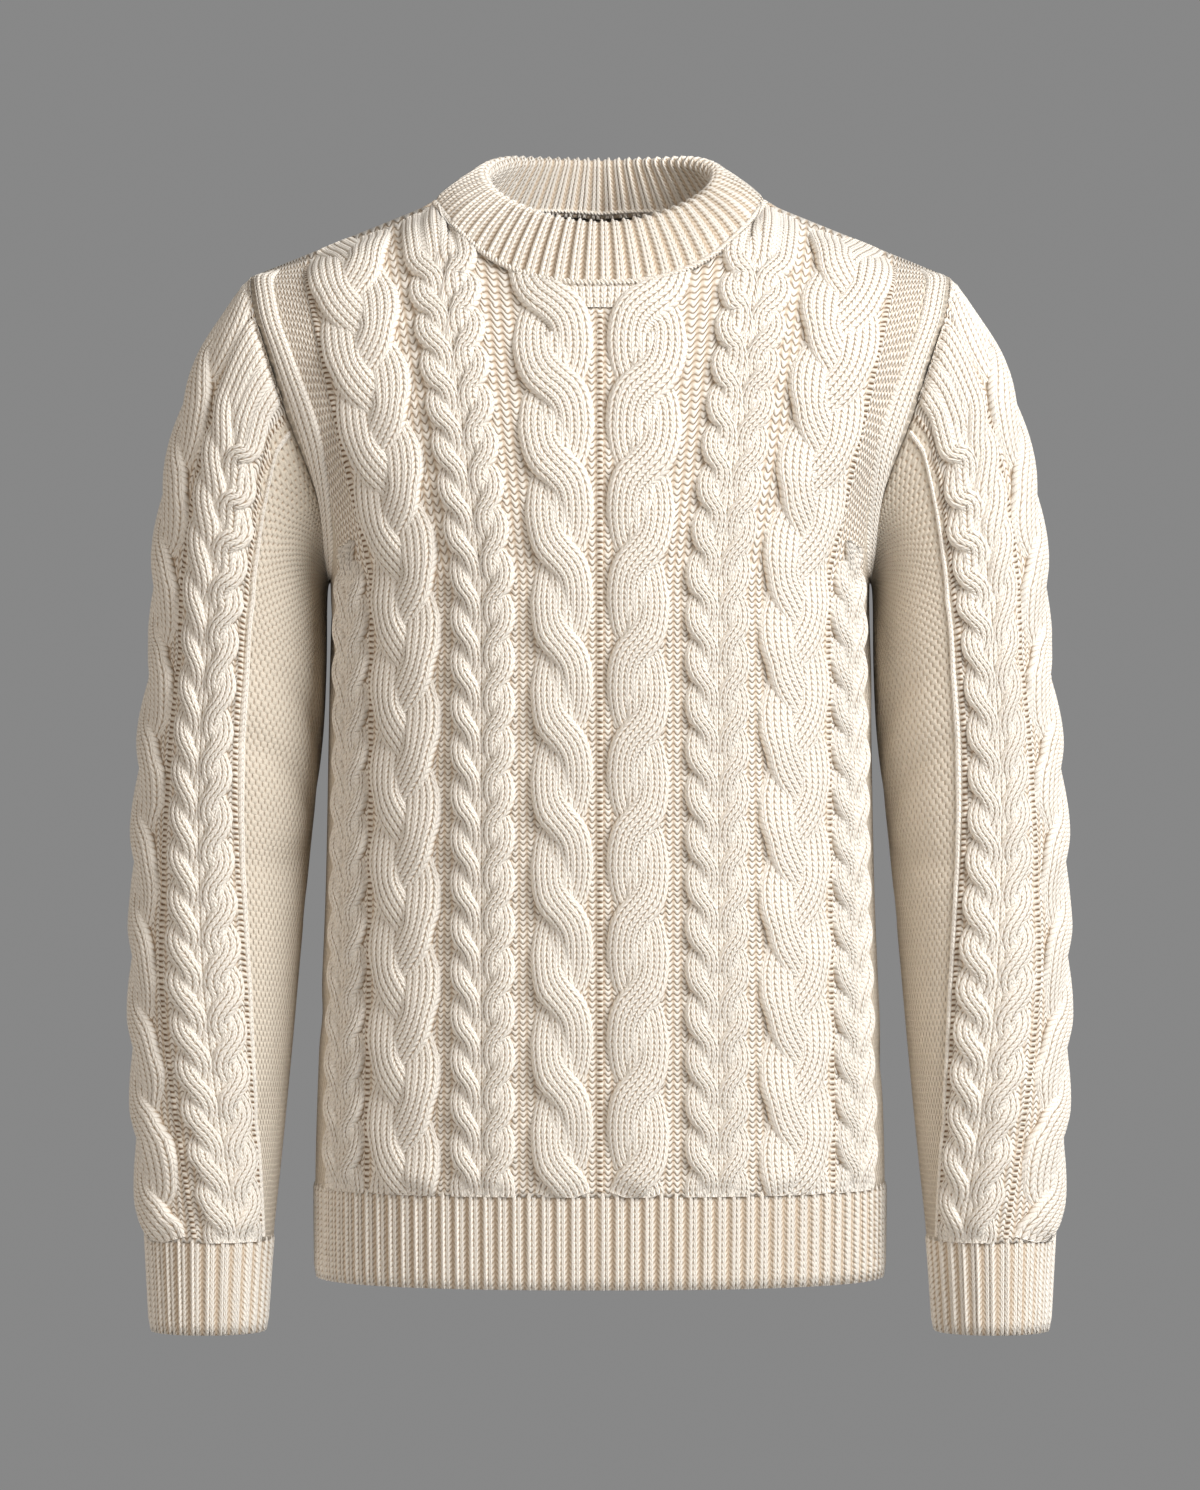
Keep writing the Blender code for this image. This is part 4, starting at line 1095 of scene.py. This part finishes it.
def body_piece(face):
    """The front or back: its shell and every cable strand on it."""
    title = "front" if face == FRONT else "back"
    surface = body_surface(face)
    across = np.linspace(-EDGE_ROUND, EDGE_ROUND, int(2 * EDGE_ROUND / SHELL_STEP) + 1)
    along = np.linspace(0.0, BODY_TOP_ROW, 96)
    middle = (across[:-1] + across[1:]) / 2
    moss = np.abs(middle) > BODY_CABLES[-1].centre + BODY_CABLES[-1].half
    shell = shell_piece(title, title + "_panel", surface, across, along, BODY_ROW,
                        np.tile(moss, (len(along) - 1, 1)), False)

    pieces = []
    for cable in BODY_CABLES:
        cables = Cloth()
        for side in (1, -1):
            body_cable(cables, surface, face, cable, side)
        pieces.append(cables.build(title + "_" + cable.kind + "_cables", ("knit",)))
    ladders = Cloth()
    for side in (1, -1):
        rows = np.linspace(0.0, BODY_TOP_ROW - 0.5, 150)
        ladder(ladders, surface, side * SIDE_GUTTER, rows, LADDER_HALF)
    rows = np.linspace(0.0, BODY_TOP_ROW - (1.2 if face == FRONT else 0.2), 150)
    ladder(ladders, surface, 0.0, rows, LADDER_HALF)
    pieces.append(ladders.build(title + "_ladders", ("ladder",)))
    if face == FRONT:
        # short fine ribs that widen towards the collar
        fan = Cloth()
        z = np.linspace(YOKE_FAN_LOW, float(top_z(face, 0.0)) + 0.004, 9)
        narrow = YOKE_FAN_HALF * (0.86 + 0.14 * np.linspace(0, 1, len(z)))
        crown = YOKE_FAN_CROWN * (0.35 + 0.65 * ease((z - z[0]) / 0.006))
        ribbon(fan, surface, 0.0, body_row(face, 0.0, z), narrow, 0.0, crown,
               YOKE_FAN_WALES, level=True)
        pieces.append(fan.build(title + "_neck_ribs", ("knit",)))
    bands = Cloth()
    for side in (1, -1):
        rows = np.linspace(BODY_ROWS + 0.3, BODY_TOP_ROW, 110)
        edge = np.full(len(rows), EDGE_ROUND)
        centre = edge - (BAND_HALF - 0.0008) / surface.wide(side * (edge - 0.002), rows)
        crown = BAND_CROWN * ease((rows - BODY_ROWS) / 3.0)
        ribbon(bands, surface, side * centre, rows, BAND_HALF, 0.0, crown, 4, level=True)
    pieces.append(bands.build(title + "_armhole_bands", ("knit",)))
    return shell, pieces


# ---------------- sleeves


def arm_moss_edge(rows):
    """Where the moss stitch begins, nearer the front at the sleeve's top."""
    return arm_line("ladder", rows) + arm_line("ladder_width", rows) / 2


def smooth(values, reach):
    """Each value's mean with its neighbours."""
    padded = np.concatenate([np.full(reach, values[0]), values, np.full(reach, values[-1])])
    return np.convolve(padded, np.ones(2 * reach + 1) / (2 * reach + 1), mode="valid")


def arm_path(surface, place, rows):
    """Metres of one unit across, and rows of the pattern counted from the cuff by length."""
    inside = np.clip(rows, 0.0, surface.rows - 1.0)
    wide = surface.wide(place, inside)
    points = surface.ground(place, inside)
    run = lengths(points)
    return smooth(wide, SMOOTH_REACH), 1 + (run[-1] - run) / ARM_ROW, points[:, 2]


def arm_cable_rows(step):
    """Rows of a path down the sleeve, and the gutter's outer and inner edges there."""
    rows = path_rows(-PAST_ARMHOLE_ROWS, ARM_LAST_ROW, step / ARM_ROW)
    middle, half = arm_line("gutter", rows), arm_line("gutter_width", rows) / 2
    return rows, middle - half, middle + half


def arm_band(surface, rows, inner, outer):
    """Middle and half width of a cable between two lines, its path and its fade at the cuff."""
    place = (inner + outer) / 2
    wide, pattern, height = arm_path(surface, place, rows)
    ends = END_SHARE + (1 - END_SHARE) * ease((rows[-1] - rows) / END_ROWS)
    return place, (outer - inner) / 2 * wide, wide, pattern, height, ends


def sleeve_piece(title, mirror):
    """A sleeve: its shell and every cable strand on it."""
    surface = sleeve_surface()
    across = np.linspace(-UNDERARM_ROUND, UNDERARM_ROUND, 81)[:-1]
    along = np.linspace(0.0, ARM_LAST_ROW, 100)
    middle = across + SHELL_STEP / 2
    edge = arm_moss_edge((along[:-1] + along[1:]) / 2)
    moss = np.abs(middle)[None, :] > edge[:, None]
    shell = shell_piece(title, title, surface, across, along, ARM_ROW, moss, True, mirror)

    cables, ladders = Cloth(), Cloth()
    for side in (1, -1):
        rows, edge, _ = arm_cable_rows(WIDE_STEP)
        place, half, wide, pattern, _, ends = arm_band(surface, rows, ARM_OUTER_GAP, edge)
        phase = (ARM_ROPE_CROSS_ROW - pattern) / ARM_ROPE_ROWS
        start = ease(rows / 5)
        thick, rise = ARM_ROPE
        path = Path(cables, surface, side * place, half, wide, rows,
                    thick * (0.12 + 0.88 * start) * ends, rise * start * ends)
        rope_strands(path, phase, side, ROPE_WALES)

        rows, _, edge = arm_cable_rows(NARROW_STEP)
        outer = arm_line("ladder", rows) - arm_line("ladder_width", rows) / 2
        place, half, wide, pattern, height, ends = arm_band(surface, rows, edge, outer)
        start = ease((rows + 1.5) / 3)
        phase = (ARM_PLAIT_CROSS_ROW - pattern) / 2
        phase += ARM_PLAIT_STRETCH * np.maximum(0.0, pattern - ARM_PLAIT_EVEN_ROW)
        top = float(np.interp(ARM_PLAIT_TOP_Z, height[::-1], phase[::-1]))
        phase = np.maximum(phase, round(top) - 0.5)
        thick, rise = ARM_PLAIT
        path = Path(cables, surface, side * place, half, wide, rows,
                    thick * (0.45 + 0.55 * start) * ends, rise * start * ends)
        plait_strands(path, phase, side, ARM_PLAIT_SHARP)

        rows = np.linspace(0.0, ARM_LAST_ROW, 170)
        for name, share in (("gutter", 0.5), ("ladder", 0.65)):
            half = np.minimum(arm_line(name + "_width", rows), ARM_LADDER_MOST) * share
            ladder(ladders, surface, side * arm_line(name, rows), rows, half)
        # one wale of stocking stitch along the moss
        rows = np.linspace(0.0, ARM_LAST_ROW, 180)
        ribbon(cables, surface, side * (arm_moss_edge(rows) + 0.0022), rows, GROUND_WALE / 2,
               0.0, 0.0010, 1, level=True)
    pieces = [cables.build(title + "_cables", ("knit",), mirror),
              ladders.build(title + "_ladders", ("ladder",), mirror)]
    return shell, pieces


# ---------------- ribs


RIB_POINTS = 12
RIB_OVERLAP = 0.0050
RIB_SINK = 0.0006
RIB_DROP = 0.0017
HEM_RISE = 0.0029
CUFF_RISE = 0.0026
COLLAR_RISE = 0.0027
CHAIN_POINTS = 600
# Radius of a ply, length of a turn and distance of the plies from the cord's middle
CHAIN = (0.0014, 0.0052, 0.0010)
INNER_CHAIN = (0.0009, 0.0046, 0.0007)


def rib_profile(place, rise):
    """Height of a rib at a place from 0 to 3: a high wale, a lower one and the purl ladder."""
    high = np.maximum(0.0, 1 - ((place - 0.50) / 0.52) ** 2) ** 0.5
    low = 0.55 * np.maximum(0.0, 1 - ((place - 1.50) / 0.58) ** 2) ** 0.5
    purl = 0.16 * np.maximum(0.0, 1 - ((place - 2.50) / 0.45) ** 2)
    return rise * np.maximum(np.maximum(high, low), purl)


def rib_heights(low, high):
    """Rows of a rib, the last two where it runs up over the knit above and sinks in."""
    return np.array([*np.linspace(low, high, 8), high + RIB_OVERLAP / 2, high + RIB_OVERLAP])


def rib_places(count):
    """Place from 0 to 3 in its rib, and wale, of each point round a ribbed piece."""
    wales = np.arange(count) * 3.0 / RIB_POINTS
    return wales % 3.0, wales


def rib_piece(title, rings, normals, heights, rise, wrap, mirror=False):
    """A ribbed band from its rings of ground points, with flatter ribs on its inside."""
    place, wales = rib_places(rings.shape[1])
    lift = rib_profile(place, rise)[None, :, None]
    fade = np.ones((len(rings), 1, 1))
    fade[0], fade[-2], fade[-1] = 0.60, 0.75, 0.0
    sink = np.zeros((len(rings), 1, 1))
    sink[-1] = RIB_SINK
    outer = rings + normals * (lift * fade - sink)
    inner = rings - normals * (WALL - 0.5 * lift)
    u, v = np.meshgrid(wales, (heights - heights[0]) / COURSE)
    slots = np.zeros((len(rings) - 1, len(wales) - (0 if wrap else 1)), dtype=int)
    cloth = Cloth()
    close_wall(cloth, outer, inner, np.stack([u, v], axis=-1), slots, wrap)
    piece = cloth.build(title + "_knit", ("rib",), mirror)
    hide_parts(title)
    return piece


def level_normals(rings, wrap, facing):
    """The level way out of each ring, at each of its points."""
    if wrap:
        along = np.roll(rings, -1, axis=1) - np.roll(rings, 1, axis=1)
    else:
        along = np.gradient(rings, axis=1)
    normals = np.cross(along, np.array([0.0, 0.0, 1.0]))
    normals[..., 2] = 0
    return units(normals) * facing


def hem_piece(face):
    """The front or back half of the hem's rib."""
    title = "hem_rib_front" if face == FRONT else "hem_rib_back"
    heights = rib_heights(HEM_BOTTOM_Z + 0.0012, HEM_TOP_Z - SEAM_GAP)
    count = HEM_RIBS * RIB_POINTS // 2
    rings = []
    for z in heights:
        _, whole = angles_round(face, z, [0.0])
        distances = np.linspace(0.0, whole, count + 1)
        angles, _ = angles_round(face, z, distances[:-1])
        half = [torso_point(face, section_x(face, a, z), z) for a in [*angles, math.pi / 2]]
        half[-1][1] = 0.0
        rings.append([p * np.array([-1, 1, 1]) for p in half[:0:-1]] + half)
    rings = np.array(rings)
    normals = level_normals(rings, False, -face)
    rings = rings - normals * RIB_DROP
    rings[:, (0, -1), 1] = face * SEAM_GAP / 2
    return rib_piece(title, rings, normals, heights, HEM_RISE, False)


def cuff_piece(title, mirror):
    """The rib round a wrist."""
    heights = rib_heights(CUFF_BOTTOM_Z + 0.0010, CUFF_TOP_Z - SEAM_GAP)
    count = CUFF_RIBS * RIB_POINTS
    turns = [2 * math.pi * n / count for n in range(count)]
    rings = np.array([[arm_point(a, z) for a in turns] for z in heights])
    normals = level_normals(rings, True, 1)
    middle = rings.mean(axis=1, keepdims=True)
    normals *= np.sign(np.sum(normals * (rings - middle)))
    rings = rings - normals * RIB_DROP
    return rib_piece(title, rings, normals, heights, CUFF_RISE, True, mirror)


# ---------------- collar


def neckline(face):
    tops = [x for x in LINE_TOPS if x <= NECK_HALF_WIDTH]
    return np.array([torso_point(face, x, top_z(face, x)) for x in tops])


def collar_base(turn, lines):
    """Point of the neckline: turn 0 is the front, 90 degrees the wearer's left shoulder."""
    corners = lines[FRONT if math.cos(turn) > 0 else BACK]
    x = NECK_HALF_WIDTH * abs(math.sin(turn))
    y = float(np.interp(x, corners[:, 0], corners[:, 1]))
    z = float(np.interp(x, corners[:, 0], corners[:, 2]))
    return np.array([math.copysign(x, math.sin(turn)), y, z])


def collar_top(turn):
    round_half = abs(math.atan2(math.sin(turn), math.cos(turn)))
    z = mix(COLLAR_FRONT_Z, COLLAR_SIDE_Z, ease(round_half / math.radians(135)))
    y = COLLAR_CENTRE_Y - COLLAR_HALF_DEPTH * math.cos(turn)
    return np.array([COLLAR_HALF_WIDTH * math.sin(turn), y, z])


def collar_frames(count):
    """Base, way up, length and way out at each turn of the collar."""
    lines = {face: neckline(face) for face in (FRONT, BACK)}
    turns = [2 * math.pi * n / count for n in range(count)]
    base = np.array([collar_base(t, lines) for t in turns])
    top = np.array([collar_top(t) for t in turns])
    length = np.linalg.norm(top - base, axis=1, keepdims=True)
    up = (top - base) / length
    tangent = np.roll(top, -1, axis=0) - np.roll(top, 1, axis=0)
    out = units(np.cross(tangent, up))
    return base, up, length, out


def collar_piece():
    """The folded rib band, and the chained seams along its foot."""
    count = COLLAR_RIBS * RIB_POINTS
    base, up, length, out = collar_frames(count)
    half = COLLAR_WALL / 2
    place, wales = rib_places(count)
    rise = rib_profile(place, COLLAR_RISE)[:, None]
    rings = []
    profile = [(s, 0.0) for s in np.linspace(0.0, 1.0, 12)]
    profile += [(1.0, t) for t in np.linspace(22, 158, 6)]
    profile += [(s, 180.0) for s in np.linspace(1.0, 0.0, 8)]
    for share, angle in profile:
        turn = math.radians(angle)
        bulge = COLLAR_BULGE * math.sin(math.pi * min(1.0, share)) if angle == 0 else 0.0
        way = out * math.cos(turn) + up * math.sin(turn)
        centre = base + up * ((length - half) * share + SEAM_GAP) - out * half
        point = centre + way * half + out * bulge
        fade = 0.6 if angle == 0 and share < 0.04 else 1.0
        inside = 0.6 if angle > 90 else 1.0
        rings.append(point + way * rise * fade * inside)
    rings = np.array(rings)
    courses = lengths(rings[:, 0]) / (COURSE * 0.92)
    cloth = Cloth()
    cloth.grid(rings, np.stack(np.meshgrid(wales, courses), axis=-1), True, None, True)
    piece = cloth.build("collar_knit", ("rib",))
    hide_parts("collar")

    seam = Cloth()
    base, up, _, out = collar_frames(CHAIN_POINTS)
    # it sinks in at the sides, where the neckline peaks at the shoulder seams
    turns = np.linspace(0, 2 * math.pi, CHAIN_POINTS, endpoint=False)
    side = np.abs(np.sin(turns))[:, None] ** 12
    path = rounded(base + up * (0.0003 - 0.0018 * side) + out * (0.0026 - 0.0024 * side), 14)
    twist_cord(seam, path, out, up, *CHAIN)
    # the inner seam, a little higher
    path = base + up * 0.0042 - out * (COLLAR_WALL + 0.0012)
    twist_cord(seam, path, out, up, *INNER_CHAIN)
    return piece, seam.build("collar_chain_seam", ("yarn",))


def rounded(path, reach):
    """A closed path with its corners eased: each point is the mean of its neighbours."""
    return sum(np.roll(path, n, axis=0) for n in range(-reach, reach + 1)) / (2 * reach + 1)


def twist_cord(cloth, path, out, up, radius, pitch, spread):
    """A closed two-ply cord that winds along a path."""
    steps = np.linalg.norm(np.roll(path, -1, axis=0) - path, axis=1)
    total = steps.sum()
    turns = round(total / pitch)
    run = np.concatenate([[0.0], np.cumsum(steps)[:-1]]) / total * turns * 2 * math.pi
    sides = 5
    for ply in (0, math.pi):
        a = run + ply
        centre = path + (out * np.sin(a)[:, None] + up * np.cos(a)[:, None]) * spread
        rings = []
        for k in range(sides):
            turn = 2 * math.pi * k / sides
            rings.append(centre + (out * math.cos(turn) + up * math.sin(turn)) * radius)
        u = np.tile(np.linspace(0, 1, sides)[:, None], (1, len(path)))
        v = np.tile(run[None, :] / math.pi, (sides, 1))
        cloth.grid(np.array(rings), np.stack([u, v], axis=-1), True, None, True)


# ---------------- stage, light and camera


FLOOR_HALF = 1.4
FLOOR_Z = -1.25
CAMERA_DISTANCE = 4.0
CAMERA_Z = -0.3470
CAMERA_LENS = 151.0
BACKDROP = 0.245
SOFT_LIGHT = 0.50
LIT_MIDDLE = (0.0, 0.0, -0.34)
# Each soft light's place, size, power and colour
LIGHTS = (
    ("key", (2.50, -2.25, 1.5), 2.6, 222.0, (1.0, 0.990, 0.970)),
    ("fill", (-2.4, -2.6, 0.3), 1.8, 43.0, (1.0, 0.88, 0.75)),
    ("rim", (0.8, 2.2, 1.6), 1.4, 26.0, (1.0, 0.98, 0.95)),
)


def stage():
    mesh = bpy.data.meshes.new("floor")
    half, z = FLOOR_HALF, FLOOR_Z
    corners = [(-half, -half, z), (half, -half, z), (half, half, z), (-half, half, z)]
    mesh.from_pydata(corners, [], [(0, 1, 2, 3)])
    material = bpy.data.materials.new("floor_grey")
    material.use_nodes = True
    shader = material.node_tree.nodes["Principled BSDF"]
    shader.inputs["Base Color"].default_value = (0.55, 0.55, 0.55, 1.0)
    shader.inputs["Roughness"].default_value = 0.9
    mesh.materials.append(material)
    new_object("floor", mesh)


def area_light(name, place, size, power, colour):
    """A round soft light that looks at the garment's middle."""
    light = bpy.data.lights.new(name, "AREA")
    light.shape = "DISK"
    light.size, light.energy, light.color = size, power, colour
    item = new_object(name, light)
    item.location = place
    x, y, z = np.array(LIT_MIDDLE) - np.array(place)
    item.rotation_euler = (math.atan2(math.hypot(x, y), -z), 0.0, math.atan2(-x, y))


def light_and_camera():
    world = bpy.data.worlds.new("studio")
    bpy.context.scene.world = world
    world.use_nodes = True
    tree = world.node_tree
    background = tree.nodes["Background"]
    background.inputs["Color"].default_value = (BACKDROP, BACKDROP, BACKDROP, 1.0)
    # the wall behind shows at its full grey, and lights the wool less
    rays = tree.nodes.new("ShaderNodeLightPath")
    strength = tree.nodes.new("ShaderNodeMapRange")
    strength.inputs["To Min"].default_value = SOFT_LIGHT
    tree.links.new(rays.outputs["Is Camera Ray"], strength.inputs["Value"])
    tree.links.new(strength.outputs["Result"], background.inputs["Strength"])
    for light in LIGHTS:
        area_light(*light)
    camera = bpy.data.cameras.new("camera")
    camera.lens, camera.clip_end = CAMERA_LENS, 50.0
    item = new_object("camera", camera)
    item.location = (0.0, -CAMERA_DISTANCE, CAMERA_Z)
    item.rotation_euler = (math.pi / 2, 0.0, 0.0)
    bpy.context.scene.camera = item
    bpy.context.scene.view_settings.view_transform = "Standard"


# ---------------- the whole sweater


def main():
    panels = [body_piece(face) for face in (FRONT, BACK)]
    sleeves = [sleeve_piece("sleeve_left", False), sleeve_piece("sleeve_right", True)]
    hems = [hem_piece(face) for face in (FRONT, BACK)]
    cuffs = [cuff_piece("cuff_left", False), cuff_piece("cuff_right", True)]
    collar, chain = collar_piece()

    stage()
    light_and_camera()


main()
